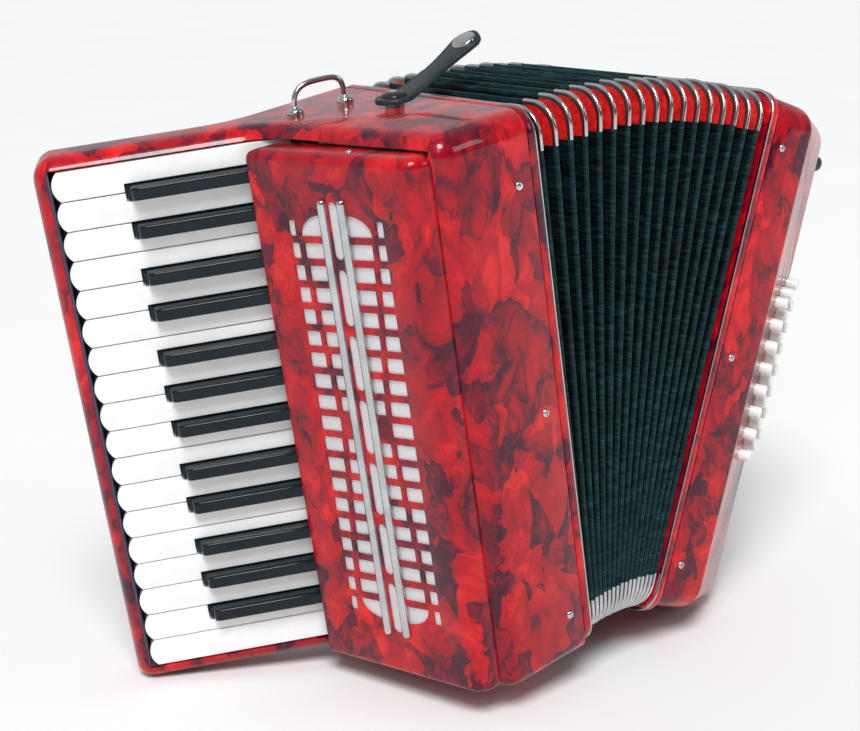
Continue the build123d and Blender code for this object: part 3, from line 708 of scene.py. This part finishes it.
def black_key(number, boundary):
    """A black key: sides that lean in, a soft crown and a sloping front."""
    centre = black_centre(boundary)
    crown, front = BLACK_RISE, BLACK_LENGTH
    stations = [
        (-KEY_TAIL, 0.0, 0.0), (-12.0, 0.0, 0.0), (-4.0, crown, 0.0), (front - 9.0, crown, 0.0),
        (front - 6.0, crown - 0.1, 0.0), (front - 4.6, crown - 0.5, 0.05), (front - 3.5, crown - 1.3, 0.1),
        (front - 2.9, crown - 2.4, 0.15), (front - 2.4, 3.6, 0.2), (front - 2.2, 2.2, 0.2),
        (front - 1.9, 1.6, 0.2), (front - 0.3, 1.4, 0.25), (front, 1.1, 0.5),
    ]
    rings = []
    for u, height, pinch in stations:
        base = BLACK_HALF_BASE - pinch
        top = max(base - (BLACK_HALF_BASE - BLACK_HALF_TOP) * max(height, 0.0) / crown, 1.0)
        section = [(-base, -WHITE_THICK), (-base, -0.5), (-top, height - 1.1), (-top + 0.25, height - 0.45),
                   (-top + 0.75, height - 0.08), (-top + 1.6, height + 0.04)]
        mirrored = [(-z, n) for z, n in section[::-1]]
        rings.append([(u, centre + z, n) for z, n in section + mirrored])
    bm = bmesh.new()
    skin(bm, rings)
    return finish_key(bm, "black", number, EBONY, centre, centre, BLACK_PAD_Y, 38)


# ---- grille ----
def slot_outline(near, far, low, high, turned):
    """A slot with softened corners. A turned one (1 up, -1 down) is taller and cut as a quarter round."""
    if not turned:
        return outline_ring([(near, low), (far, low), (far, high), (near, high)], (0.9,) * 4, 0, 3)
    base, tall = (low if turned > 0 else high), high - low + END_SLOT_RISE
    turns = [radians(90 * step / 8) for step in range(9)]
    return [(near + (far - near) * sin(a), base + turned * tall * cos(a)) for a in turns] + [(near, base)]


def grille_slots():
    """The cutters of every slot and of the oblong windows between the rods."""
    outlines = []
    middle = (SLOT_ROWS - 1) / 2
    for row in range(SLOT_ROWS):
        z = PATTERN_Z + (row - middle) * SLOT_PITCH
        nearness = 1 - abs(row - middle) / middle
        inner = SLOT_EDGE - SLOT_NARROW - (SLOT_WIDE - SLOT_NARROW) * nearness
        spans = [(inner, SLOT_EDGE, 0)]
        if nearness < 1:
            turned = {0: -1, SLOT_ROWS - 1: 1}.get(row, 0)
            spans.append((ROD_OFFSET + 1.0, inner - SLOT_RIB, turned))
        for near, far, turned in spans:
            outline = slot_outline(near, far, z - SLOT_HEIGHT / 2, z + SLOT_HEIGHT / 2, turned)
            for side in (1, -1):
                outlines.append([(PATTERN_S + side * s, up - side * s * ROW_SLOPE) for s, up in outline])
    wide, long = OBLONG_SIZE
    for index in range(OBLONG_COUNT):
        z = PATTERN_Z + (index - (OBLONG_COUNT - 1) / 2) * OBLONG_PITCH
        signs = ((-1, -1), (1, -1), (1, 1), (-1, 1))
        corners = [(PATTERN_S + across * wide / 2, z + up * long / 2) for across, up in signs]
        outlines.append(outline_ring(corners, (wide / 2 - 0.01,) * 4, 0, 6))
    bm = bmesh.new()
    for outline in outlines:
        skin(bm, [[(s, up, n) for s, up in outline] for n in (-14.0, 6.0)])
    return to_object("slots", bm, [RED_GRILLE], GRILLE)


def grille_cover():
    back, far = GRILLE_X + GRILLE_RISE, GRILLE_LENGTH - 4
    deeper, beyond = back + 14.0, (back + 40, GRILLE_Y + GRILLE_LENGTH)
    outline = [(deeper, GRILLE_Y), (GRILLE_X, GRILLE_Y), on_grille(GRILLE_LENGTH, 0),
               on_grille(GRILLE_LENGTH - 6, GRILLE_RISE - 1), (deeper, GRILLE_Y + GRILLE_LENGTH - 12)]
    shape = (outline, (0, 13.0, 2.2, 3.0, 0), GRILLE_LOW, GRILLE_HIGH, 5.0, 7.0)
    cover = plate_object("grille_cover", RED_GRILLE, *shape, steps=10)
    case = (case_corners(BEYOND_SEAM), CASE_RADII, -10, BODY_HEIGHT + 10)
    behind = plate_object("behind", RED_GRILLE, *case, steps=12)
    inner = [(back + 9, GRILLE_Y + 3), (GRILLE_X + 13, GRILLE_Y + 3), on_grille(15, GRILLE_SKIN),
             on_grille(far, GRILLE_SKIN), on_grille(GRILLE_LENGTH + 12, 24), beyond]
    hollow = plate_object("hollow", SEAM_FELT, inner, (0,) * 6, GRILLE_LOW + 8, GRILLE_HIGH - 8)
    room = [(back + 9, GRILLE_Y + 16), on_grille(20, 8.5), on_grille(far, 8.5), beyond]
    lever_room = plate_object("lever_room", SEAM_FELT, room, (0,) * 4, GRILLE_HIGH - 12, GRILLE_HIGH - 3.2)
    carve(cover, behind, hollow, lever_room, grille_slots())
    soften(cover, 0.3, 2, 50)
    return install(cover, "root", "red_pearloid", ["grille_panel"])


def grille_cloth():
    """The silver cloth stretched behind the slots."""
    bm = bmesh.new()
    width, height = (PATTERN_S - 48.0, PATTERN_S + 48.0), (PATTERN_Z - 152.0, PATTERN_Z + 152.0)
    cuboid(bm, width, height, (-2.2, -1.35), 0.2)
    cloth = to_object("grille_cloth_sheet", bm, [MESH_CLOTH], GRILLE)
    return install(cloth, "root", "grille_cloth", ["grille_mesh"])


def grille_rods():
    """Two half-round chrome bars with domed ends."""
    bm = bmesh.new()
    half = ROD_LENGTH / 2
    ends = [(0.0, 0.35), (0.5, 0.72), (1.4, 0.94), (3.0, 1.0)]
    stations = [(-half + d, k) for d, k in ends] + [(half - d, k) for d, k in ends[::-1]]
    turns = [radians(180 * step / 12) for step in range(13)]
    for side in (-1, 1):
        rings = []
        for along, scale in stations:
            radius = ROD_RADIUS * scale
            section = [(side * ROD_OFFSET + radius * cos(a), 0.02 + radius * sin(a)) for a in turns]
            rings.append([(PATTERN_S + s, PATTERN_Z + along - s * ROW_SLOPE, n) for s, n in section])
        skin(bm, rings)
    rods = to_object("chrome_rods", bm, [CHROME], GRILLE)
    return install(rods, "root", "chrome", ["grille_rods"], angle=60)


# ---- bellows ----
ARC_STEPS = 12
CORNER_POINTS = ARC_STEPS + 3
# outlines across a ridge and its cap: (distance from the ridge's middle, depth inside it)
RIDGE_SECTION = [(-RIDGE_HALF, 2.4), (-RIDGE_HALF, 1.1), (-0.95, 0.35), (-0.4, 0.05), (0.4, 0.05),
                 (0.95, 0.35), (RIDGE_HALF, 1.1), (RIDGE_HALF, 2.4)]
CAP_SECTION = [(-1.33, 3.6), (-1.38, 0.7), (-1.05, -0.1), (-0.45, -0.45), (0.45, -0.45), (1.05, -0.1),
               (1.38, 0.7), (1.33, 3.6), (1.0, 3.6), (1.0, 0.8), (-1.0, 0.8), (-1.0, 3.6)]
FLANGE_ROWS = (0, 6, 7, 8, 9, 10, 11)
RIDGE_SHARE = 0.25
VALLEY_RADIUS = 5.0
VALLEY_INSET = FOLD_INSET + FOLD_DEPTH
VALLEY_HALF = 0.12
WALL_THICK = 0.35


def mouth(inset, radius):
    """The bellows' rounded rectangle as (y, z) points, with CORNER_POINTS of them at each corner."""
    reach = max(CORNER_SPAN - inset - radius, 0.5)
    points = []
    for far_y, far_z, start in ((False, False, 180), (True, False, 270), (True, True, 0), (False, True, 90)):
        y = BODY_DEPTH - inset - radius if far_y else inset + radius
        z = BODY_HEIGHT - inset - radius if far_z else inset + radius
        turns = [radians(start + 90 * step / ARC_STEPS) for step in range(ARC_STEPS + 1)]
        arc = [(y + radius * cos(a), z + radius * sin(a)) for a in turns]
        into, out = radians(start - 90), radians(start + 180)
        before = (arc[0][0] + reach * cos(into), arc[0][1] + reach * sin(into))
        after = (arc[-1][0] + reach * cos(out), arc[-1][1] + reach * sin(out))
        points += [before] + arc + [after]
    return points


def at_corner(i):
    """Whether the stretch that follows point i of a ring is at a corner."""
    return (i + 1) % CORNER_POINTS != 0


def bellows_ring(k, share, shift, inset, radius):
    """A ring of body k: share counts folds from the body's middle, and folds widen with height."""
    middle = BELLOWS_X + (2 * k - 1) * FOLD_PITCH + shift
    return [(middle + share * (2 * FOLD_PITCH + 2 * z * FOLD_SLOPE), y, z) for y, z in mouth(inset, radius)]


def placed_ring(k, *ring):
    """A ring of body k where it stands, in metres."""
    place = PLACES[bellows_body(k)]
    return [place @ Vector(point) for point in bellows_ring(k, *ring)]


def valley(k, share, shift):
    return placed_ring(k, share, shift, VALLEY_INSET, VALLEY_RADIUS)


def section_rings(k, share, section):
    return [placed_ring(k, share, shift, FOLD_INSET + depth, MOUTH_RADIUS - depth * 0.5)
            for shift, depth in section]


def bend(piece, slot, k):
    """Smooth a piece, which stays where it was drawn and rides on no body."""
    smooth(piece, 50)
    before, after = bellows_body(k - 1), bellows_body(k)
    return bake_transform(piece)


def pleats(k):
    """Cloth over card from the middle of body k - 1 over the hinge to the middle of body k."""
    if k == 1:
        rings = [valley(0, 0, FOLD_PITCH - 0.2)]
        edges = set()
    else:
        rings = [valley(k - 1, 0, VALLEY_HALF)] + section_rings(k - 1, RIDGE_SHARE, RIDGE_SECTION)
        rings.append(valley(k - 1, 0.5, -VALLEY_HALF))
        edges = set(range(1, len(RIDGE_SECTION)))
    rings.append(valley(k, -0.5, VALLEY_HALF))
    last_ridge = len(rings)
    rings += section_rings(k, -RIDGE_SHARE, RIDGE_SECTION) + [valley(k, 0, -VALLEY_HALF)]
    edges |= set(range(last_ridge, last_ridge + len(RIDGE_SECTION) - 1))

    def choose(row, i):
        # ridge rows take the lighter ridge cloth, a painted highlight on the ridges
        if row in edges:
            return 2
        first_wall = k == 1 and row < last_ridge
        return 1 if at_corner(i) or first_wall else 0

    bm = bmesh.new()
    skin(bm, rings, cap=False, choose=choose)
    cloth = to_object(f"bellows_pleats_{k}", bm, [CLOTH, CARD, RIDGE_CLOTH_PAINTED_HIGHLIGHT])
    thick = cloth.modifiers.new("thickness", "SOLIDIFY")
    thick.thickness = WALL_THICK * MM
    thick.offset = -1
    bake(cloth)
    return bend(cloth, "bellows_cloth", k)


def valley_band(k):
    """The strip of cloth inside a body's middle valley, which the pleats on both sides meet."""
    section = [(-0.04, -0.5), (0.04, -0.5), (0.04, 0.5), (-0.04, 0.5)]
    rings = [bellows_ring(k, share, 0, VALLEY_INSET + depth, VALLEY_RADIUS) for share, depth in section]
    bm = bmesh.new()
    skin(bm, rings, closed=True, choose=lambda row, i: 1 if at_corner(i) else 0)
    strip = to_object(f"bellows_valley_band_{k}", bm, [CLOTH, CARD])
    body = bellows_body(k)
    return install(strip, body, "bellows_cloth", [body], angle=50)


def corner_caps(k):
    """Chrome caps that fold over the ridges at the bellows' four corners."""
    bm = bmesh.new()
    for body, share in [(k - 1, RIDGE_SHARE), (k, -RIDGE_SHARE)][1 if k == 1 else 0:]:
        sections = section_rings(body, share, CAP_SECTION)
        for first in range(0, 4 * CORNER_POINTS, CORNER_POINTS):
            rings = [[section[first + i] for section in sections] for i in range(CORNER_POINTS)]
            skin(bm, rings, choose=lambda row, i: 1 if i in FLANGE_ROWS else 0)
    return bend(to_object(f"bellows_caps_{k}", bm, [CHROME, DULL_CHROME]), "chrome", k)


def bellows_frames():
    """The pearloid frame, chrome bead and dark gasket round each end of the bellows: (x, inset) sections."""
    wall = [(0.35, 14.0), (0.35, 0.9), (0.6, 0.25), (1.2, 0.0), (5.4, 0.0), (5.9, 0.2), (6.2, 0.8),
            (6.2, 14.0)]
    bead = [(6.0, 1.6), (5.95, 0.3), (6.25, -0.1), (6.7, -0.15), (7.0, 0.2), (7.0, 1.6)]
    gasket = [(-0.6, 5.0), (-0.6, 1.4), (0.5, 1.4), (0.5, 5.0)]
    for side, body, x, way in (("treble", "root", CASE_SEAM, 1), ("bass", "bass", BASS_SEAM, -1)):
        for part, section, material, slot, replaces in (
            ("frame", wall, RED_FRAME, "frame_pearloid", [f"{side}_bellows_frame"]),
            ("frame_bead", bead, CHROME, "chrome", []),
            ("frame_gasket", gasket, SEAM_FELT, "bellows_cloth", []),
        ):
            rings = [[(x + way * shift, y, z) for y, z in mouth(inset, max(FRAME_RADIUS - inset, 1.5))]
                     for shift, inset in section]
            bm = bmesh.new()
            skin(bm, rings, closed=True)
            install(to_object(f"{side}_{part}_hoop", bm, [material]), body, slot, replaces, angle=40)


# ---- bass side ----
def bass_corners(inset=0.0, seam=0.0):
    """The bass case from above, moved inwards and reaching seam past its joint."""
    shift = inset * (BEVEL_LENGTH - BASS_BEVEL[0]) / BASS_BEVEL[1]
    tail = inset * (BEVEL_LENGTH - BASS_BEVEL[1]) / BASS_BEVEL[0]
    return [
        (BASS_SEAM + seam, inset),
        (BASS_SEAM + BASS_FACE - shift, inset),
        (BASS_SEAM + BASS_THICK - inset, BASS_BEVEL[1] + tail),
        (BASS_SEAM + BASS_THICK - inset, BODY_DEPTH - inset),
        (BASS_SEAM + seam, BODY_DEPTH - inset),
    ]


def button_seats(row):
    """Where the buttons of a slanting row stand on the board."""
    across, lowest = BUTTON_ROW_START + row * BUTTON_ROW_STEP, BUTTON_LOWEST + row * BUTTON_STAGGER
    return [BOARD @ seat(across, lowest + i * BUTTON_PITCH, 0) for i in range(BUTTON_COLUMNS)]


def bass_shell():
    bm = bmesh.new()
    radii = (0, 3.0, 16.0, 12.0, 0)
    plate(bm, bass_corners(0, -30.0), radii, BASS_LOW, BASS_HIGH, BASS_EDGE, BASS_EDGE, steps=9)
    cut_flat(bm, BASS_SEAM + 0.3, False)
    shell = to_object("bass_case_shell", bm, [RED_BASS])
    cavity = plate_object("cavity", WOOD, bass_corners(SHELL, -9.0), (0, 6.0, 8.0, 6.0, 0), BASS_LOW + SHELL,
                          BASS_HIGH - SHELL, 13.0, 13.0)
    bm = bmesh.new()
    for row in range(BUTTON_ROWS):
        for seat in button_seats(row):
            lathe(bm, [(BUTTON_RADIUS + 0.7, -16.0), (BUTTON_RADIUS + 0.7, 8.0)], seat)
    lathe(bm, [(AIR_RADIUS + 0.5, -12.0), (AIR_RADIUS + 0.5, 8.0)], AIR_SEAT)
    carve(shell, cavity, to_object("holes", bm, [SEAM_FELT]))
    return install(shell, "bass", "red_pearloid", ["bass_case"], 0.4)


def button_profile(radius, rise, stem):
    """A cap with a soft rim and a slightly dished top, on a thin stem."""
    return [
        (0.05, -SHELL - stem), (2.0, -SHELL - stem), (2.0, -SHELL), (radius, -SHELL), (radius, rise - 1.1),
        (radius - 0.12, rise - 0.55), (radius - 0.45, rise - 0.15), (radius - 1.0, rise),
        (radius * 0.5, rise - 0.12), (0.05, rise - 0.2),
    ]


def bass_buttons():
    for row in range(BUTTON_ROWS):
        bm = bmesh.new()
        for seat in button_seats(row):
            lathe(bm, button_profile(BUTTON_RADIUS, BUTTON_RISE, 26.0), seat, 28)
        name = f"bass_button_row_{row + 1}"
        install(to_object(f"{name}_caps", bm, [BUTTON]), name, "white_button", [name], angle=40)
    bm = bmesh.new()
    lathe(bm, button_profile(AIR_RADIUS, BUTTON_RISE, 14.0), AIR_SEAT, 36)
    cap = to_object("air_button_cap", bm, [BLACK_PLASTIC])
    install(cap, "air_button", "black_plastic", ["air_button"], angle=40)


# ---- straps, brackets and screws ----
# across a strap: (share of its half width, share of its thickness), with a stitched groove near each edge
EDGE_ROWS = [(0.4, 1.1), (0.73, 0.98), (0.765, 0.72), (0.80, 1.02), (0.9, 1.0), (0.97, 0.8), (1.0, 0.5)]
STRAP_ROWS = [(-v, h) for v, h in EDGE_ROWS[::-1]] + [(0.0, 1.14)] + EDGE_ROWS
STRAP_ROOT = 34.0
STRAP_SNAP = 45.0
STRAP_TIP = 117.0
STRAP_Y = 93.0
STRAP_HALF = 12.0
STRAP_LIFT = 25.0
STRAP_BEND = 1.25


def band(bm, path, half_width, thick, rows):
    """A strap lying across Y: path gives (centre, upward) along it, rows its section from edge to edge."""
    rings = []
    for (centre, upward), half in zip(path, half_width):
        top = [centre + TO_PLAYER * v * half + upward * (thick * h) for v, h in rows]
        bottom = [centre + TO_PLAYER * v * half for v, _ in rows[::-1]]
        rings.append(top + bottom)
    skin(bm, rings)


def closing_strap():
    """The leather strap on top of the case: riveted at its round root, waisted, and rising to its tip."""
    z = BODY_HEIGHT + 2.5
    start, free = STRAP_ROOT - 0.9, STRAP_TIP - STRAP_SNAP - 4.0
    path, halves = [], []
    count = 48
    for step in range(count + 1):
        x = start + (STRAP_TIP - start) * (0.5 - 0.5 * cos(pi * step / count))
        run = max(x - STRAP_SNAP - 4.0, 0.0) / free
        slope = STRAP_LIFT * STRAP_BEND * run ** (STRAP_BEND - 1) / free
        waist = STRAP_HALF - 4.2 * sin(pi * min(max((x - STRAP_SNAP) / (free - 2.0), 0), 1)) ** 1.2
        ends = [sqrt(max(STRAP_HALF ** 2 - (STRAP_HALF - d) ** 2, 0.02)) if d < STRAP_HALF else STRAP_HALF
                for d in (x - start, STRAP_TIP - x)]
        centre = Vector((x, STRAP_Y, z + STRAP_LIFT * run ** STRAP_BEND))
        path.append((centre, Vector((-slope, 0, 1)).normalized()))
        halves.append(max(min(waist, *ends), 0.15))
    bm = bmesh.new()
    band(bm, path, halves, 2.9, STRAP_ROWS)
    strap = to_object("closing_strap_leather", bm, [LEATHER])
    install(strap, "root", "black_leather", ["closing_strap"], angle=50)
    end_x = STRAP_TIP - 9.5
    run = (end_x - STRAP_SNAP - 4.0) / free
    turn = atan2(STRAP_LIFT * STRAP_BEND * run ** (STRAP_BEND - 1), free)
    foot, dome, dot = [seat(STRAP_SNAP, STRAP_Y, height) for height in (BODY_HEIGHT + 0.02, z + 2.7, z + 5.9)]
    tip = seat(end_x, STRAP_Y, z + STRAP_LIFT * run ** STRAP_BEND, -turn, "Y")
    bm = bmesh.new()
    for place, segments, material, profile in (
        (foot, 32, 2, [(0.05, 0.0), (6.0, 0.0), (6.0, 2.5), (0.05, 2.5)]),
        (dome, 36, 1, [(0.05, 0.0), (8.2, 0.0), (8.2, 0.7), (7.6, 1.7), (6.2, 2.5), (4.2, 3.05),
                       (2.4, 3.3), (0.05, 3.35)]),
        (dot, 24, 0, [(0.05, 0.0), (2.4, 0.0), (2.3, 0.35), (1.6, 0.7), (0.05, 0.85)]),
        (tip, 36, 0, [(0.05, 2.9), (8.0, 2.9), (8.0, 3.5), (7.4, 4.3), (5.6, 4.75), (3.0, 4.95),
                      (0.05, 5.0)]),
        (tip, 28, 0, [(0.05, -1.8), (3.6, -1.8), (4.2, -1.2), (4.4, 0.0), (0.05, 0.0)]),
    ):
        lathe(bm, profile, place, segments, material)
    snaps = to_object("strap_rivet_and_snap", bm, [CHROME, BLACK_PLASTIC, STEEL])
    install(snaps, "root", "chrome", ["closing_strap_snaps"], angle=45)


def hand_strap():
    """The wide leather strap over the bass side, bowed out for the hand, with a sewn border."""
    low, high, bulge, half = 36.0, 322.0, 30.0, 27.5
    flat, rising = 0.07, 0.26
    path, halves = [], []
    count = 60
    for step in range(count + 1):
        t = step / count
        z = low + (high - low) * t
        run = min(max((min(t, 1 - t) - flat) / rising, 0), 1)
        bow = bulge * run * run * (3 - 2 * run)
        gradient = 6 * run * (1 - run) / rising / (high - low) * bulge * (1 if t < 0.5 else -1)
        near = min(z - low, high - z, 8.0)
        centre = Vector((BASS_SEAM + BASS_THICK + 0.35 + bow, HAND_STRAP_Y, z))
        path.append((centre, Vector((1, 0, -gradient)).normalized()))
        halves.append(half - 8 + sqrt(max(64 - (8 - near) ** 2, 0)))
    rows = [(v if abs(v) < 0.5 else (abs(v) * 0.45 + 0.55) * (1 if v > 0 else -1), h) for v, h in STRAP_ROWS]
    bm = bmesh.new()
    band(bm, path, halves, 3.6, rows)
    strap = to_object("bass_hand_strap_leather", bm, [LEATHER])
    install(strap, "bass", "black_leather", ["bass_hand_strap"], angle=50)


def nurbs_line(stations):
    """The points that Blender gives for a smooth curve along some (x, z) stations."""
    curve = bpy.data.curves.new("line", "CURVE")
    curve.dimensions = "3D"
    curve.resolution_u = 6
    spline = curve.splines.new("NURBS")
    spline.points.add(len(stations) - 1)
    for point, (along, height) in zip(spline.points, stations):
        point.co = (along, 0, height, 1)
    spline.order_u = 4
    spline.use_endpoint_u = True
    holder = bpy.data.objects.new("line", curve)
    bpy.context.scene.collection.objects.link(holder)
    bpy.context.view_layer.update()
    line = bpy.data.meshes.new_from_object(holder.evaluated_get(bpy.context.evaluated_depsgraph_get()))
    bpy.data.objects.remove(holder)
    return [vertex.co.copy() for vertex in line.vertices]


def strap_brackets():
    """Two bent wires, on the top and under the bottom, each with two domed feet."""
    span, rise, wire = 34.5, 17.0, 1.8
    points = nurbs_line([
        (0, 1.0), (0, 7.0), (1.2, 11.5), (5.0, 15.0), (10.0, rise), (17.0, rise + 0.2), (24.0, rise + 0.2),
        (29.5, rise - 0.4), (33.2, 14.2), (span, 10.5), (span, 6.0), (span, 1.0)])
    foot = [(0.05, 0.02), (5.5, 0.02), (5.5, 1.2), (5.1, 2.1), (4.2, 2.9), (2.9, 3.4), (2.3, 3.9), (2.1, 4.6),
            (0.05, 4.6)]
    on_top = seat(BRACKET_X, BRACKET_Y, BODY_HEIGHT, BRACKET_TURN)
    below = seat(BRACKET_X, BRACKET_Y, 0, pi, "X") @ Matrix.Rotation(-BRACKET_TURN, 4, "Z")
    bm = bmesh.new()
    for place in (on_top, below):
        rings = []
        for index, point in enumerate(points):
            ahead = points[min(index + 1, len(points) - 1)] - points[max(index - 1, 0)]
            out = ahead.normalized().cross(TO_PLAYER)
            rings.append([
                place @ (point + (TO_PLAYER * cos(2 * pi * i / 14) + out * sin(2 * pi * i / 14)) * wire)
                for i in range(14)])
        skin(bm, rings)
        for along in (0, span):
            lathe(bm, foot, place @ seat(along, 0, 0), 28)
    install(to_object("strap_bracket_wires", bm, [CHROME]), "root", "chrome", ["strap_brackets"], angle=50)


def screw_head(bm, place, radius=SCREW_RADIUS, rise=1.6):
    """A domed head with a crossed recess."""
    segments = 32
    rings = []
    shape = [(1.0, 0.02), (1.0, 0.15), (0.93, 0.45), (0.78, 0.72), (0.55, 0.9), (0.42, 0.96), (0.2, 0.99),
             (0.03, 1.0)]
    for share, height in shape:
        ring = []
        for i in range(segments):
            a = 2 * pi * i / segments
            sunk = share < 0.5 and abs(((a + pi / 4) % (pi / 2)) - pi / 4) < 0.35
            top = rise * height - (0.55 if sunk else 0)
            ring.append(place @ Vector((radius * share * cos(a), radius * share * sin(a), top)))
        rings.append(ring)
    skin(bm, rings)


def screws():
    for name, body, x, heights in (
        ("treble_screws", "root", TREBLE_SCREW_X, (31.0, 172.0, 317.0)),
        ("bass_screws", "bass", BASS_SEAM + BASS_SCREW_X, (37.0, 181.0, 325.0)),
    ):
        bm = bmesh.new()
        for index, z in enumerate(heights):
            spin = Matrix.Rotation(0.4 + index, 4, "Z")
            screw_head(bm, seat(x, 0, z, pi / 2, "X") @ spin)
            screw_head(bm, seat(x, BODY_DEPTH, z, -pi / 2, "X") @ spin, rise=0.9)
        install(to_object(f"{name}_heads", bm, [CHROME]), body, "chrome", [name], angle=40)
    bm = bmesh.new()
    for z, turn in ((GRILLE_HIGH, 0), (GRILLE_LOW, pi)):
        screw_head(bm, seat(*on_grille(52.0, 9.0), z, turn, "X"), 2.4, 1.3)
    install(to_object("grille_screw_heads", bm, [CHROME]), "root", "chrome", angle=40)


# ---- build the object ----
treble_shell()
keyboard_trim()
for index in range(len(WHITE_NOTES)):
    white_key(index)
for number, boundary in enumerate(black_boundaries(), 1):
    black_key(number, boundary)
grille_cover()
grille_cloth()
grille_rods()
for k in range(1, LAST_HINGE + 1):
    pleats(k)
    corner_caps(k)
for k in range(1, FOLD_BODIES + 1):
    valley_band(k)
bellows_frames()
bass_shell()
bass_buttons()
closing_strap()
hand_strap()
strap_brackets()
screws()

CARRIED = {
    "key_bed": DARK_FELT,
    "key_axle": STEEL,
    "treble_soundboard": WOOD,
    "treble_reed_blocks": WOOD,
    "bass_reed_block": WOOD,
}
for node, material in CARRIED.items():
    for slot in frame["nodes"][node].material_slots:
        slot.material = material


# ---- floor, light and camera ----
def floor():
    bm = bmesh.new()
    bmesh.ops.create_circle(bm, cap_ends=True, radius=14.0, segments=96)
    shader = Shader("pale_floor", Roughness=0.9)
    stops = [(0.3, (0.86, 0.86, 0.86)), (0.7, (0.88, 0.88, 0.88))]
    shader.join(shader.ramp(shader.noise(3.0, 2.0), stops), shader.surface, "Base Color")
    to_object("floor", bm, [shader.material])


def hold(name, data, back, position=(0, 0, 0)):
    """Put a light or the camera in the scene, with its back to a direction."""
    holder = bpy.data.objects.new(name, data)
    holder.location = position
    holder.rotation_mode = "QUATERNION"
    holder.rotation_quaternion = back.to_track_quat("Z", "Y")
    bpy.context.scene.collection.objects.link(holder)
    return holder


def studio():
    world = bpy.data.worlds.new("studio")
    bpy.context.scene.world = world
    world.use_nodes = True
    nodes, links = world.node_tree.nodes, world.node_tree.links
    background = nodes["Background"]
    background.inputs["Color"].default_value = (0.93, 0.95, 0.97, 1.0)
    direction = nodes.new("ShaderNodeTexCoord")
    parts = nodes.new("ShaderNodeSeparateXYZ")
    links.new(direction.outputs["Generated"], parts.inputs[0])
    fade = nodes.new("ShaderNodeMapRange")
    for socket, value in (("From Min", -0.9), ("From Max", 0.6), ("To Min", 0.10), ("To Max", 0.62)):
        fade.inputs[socket].default_value = value
    links.new(parts.outputs["Y"], fade.inputs["Value"])
    links.new(fade.outputs["Result"], background.inputs["Strength"])
    sun = bpy.data.lights.new("soft_sun", "SUN")
    sun.energy = 2.75
    sun.angle = radians(24)
    hold("soft_sun", sun, Vector((-0.62, -0.72, 1.25)))
    middle = Vector((0, 0, 0.2))
    corners = {"key_light": Vector((-1.9, -1.7, 1.9)), "side_light": Vector((1.6, -2.2, 1.5))}
    for name, position in corners.items():
        light = bpy.data.lights.new(name, "AREA")
        light.shape = "RECTANGLE"
        light.size, light.size_y = 0.7, 0.9
        light.energy = 7.0
        hold(name, light, position - middle, position)
    bpy.context.scene.view_settings.view_transform = "Standard"


CAMERA_PLACE = (-0.7918, -0.8922, 0.5344)
CAMERA_ANGLES = (-40.154, 15.952, -1.837)
CAMERA_LENS = 76.33


def camera():
    azimuth, elevation, roll = [radians(angle) for angle in CAMERA_ANGLES]
    back = Vector((sin(azimuth) * cos(elevation), -cos(azimuth) * cos(elevation), sin(elevation)))
    right = Vector((cos(azimuth), sin(azimuth), 0))
    up = back.cross(right)
    turned = Matrix((right, up, back)).transposed().to_4x4() @ Matrix.Rotation(roll, 4, "Z")
    data = bpy.data.cameras.new("camera")
    data.lens = CAMERA_LENS
    data.sensor_width = 36.0
    holder = bpy.data.objects.new("camera", data)
    holder.matrix_world = Matrix.Translation(CAMERA_PLACE) @ turned
    bpy.context.scene.collection.objects.link(holder)
    bpy.context.scene.camera = holder


floor()
studio()
camera()
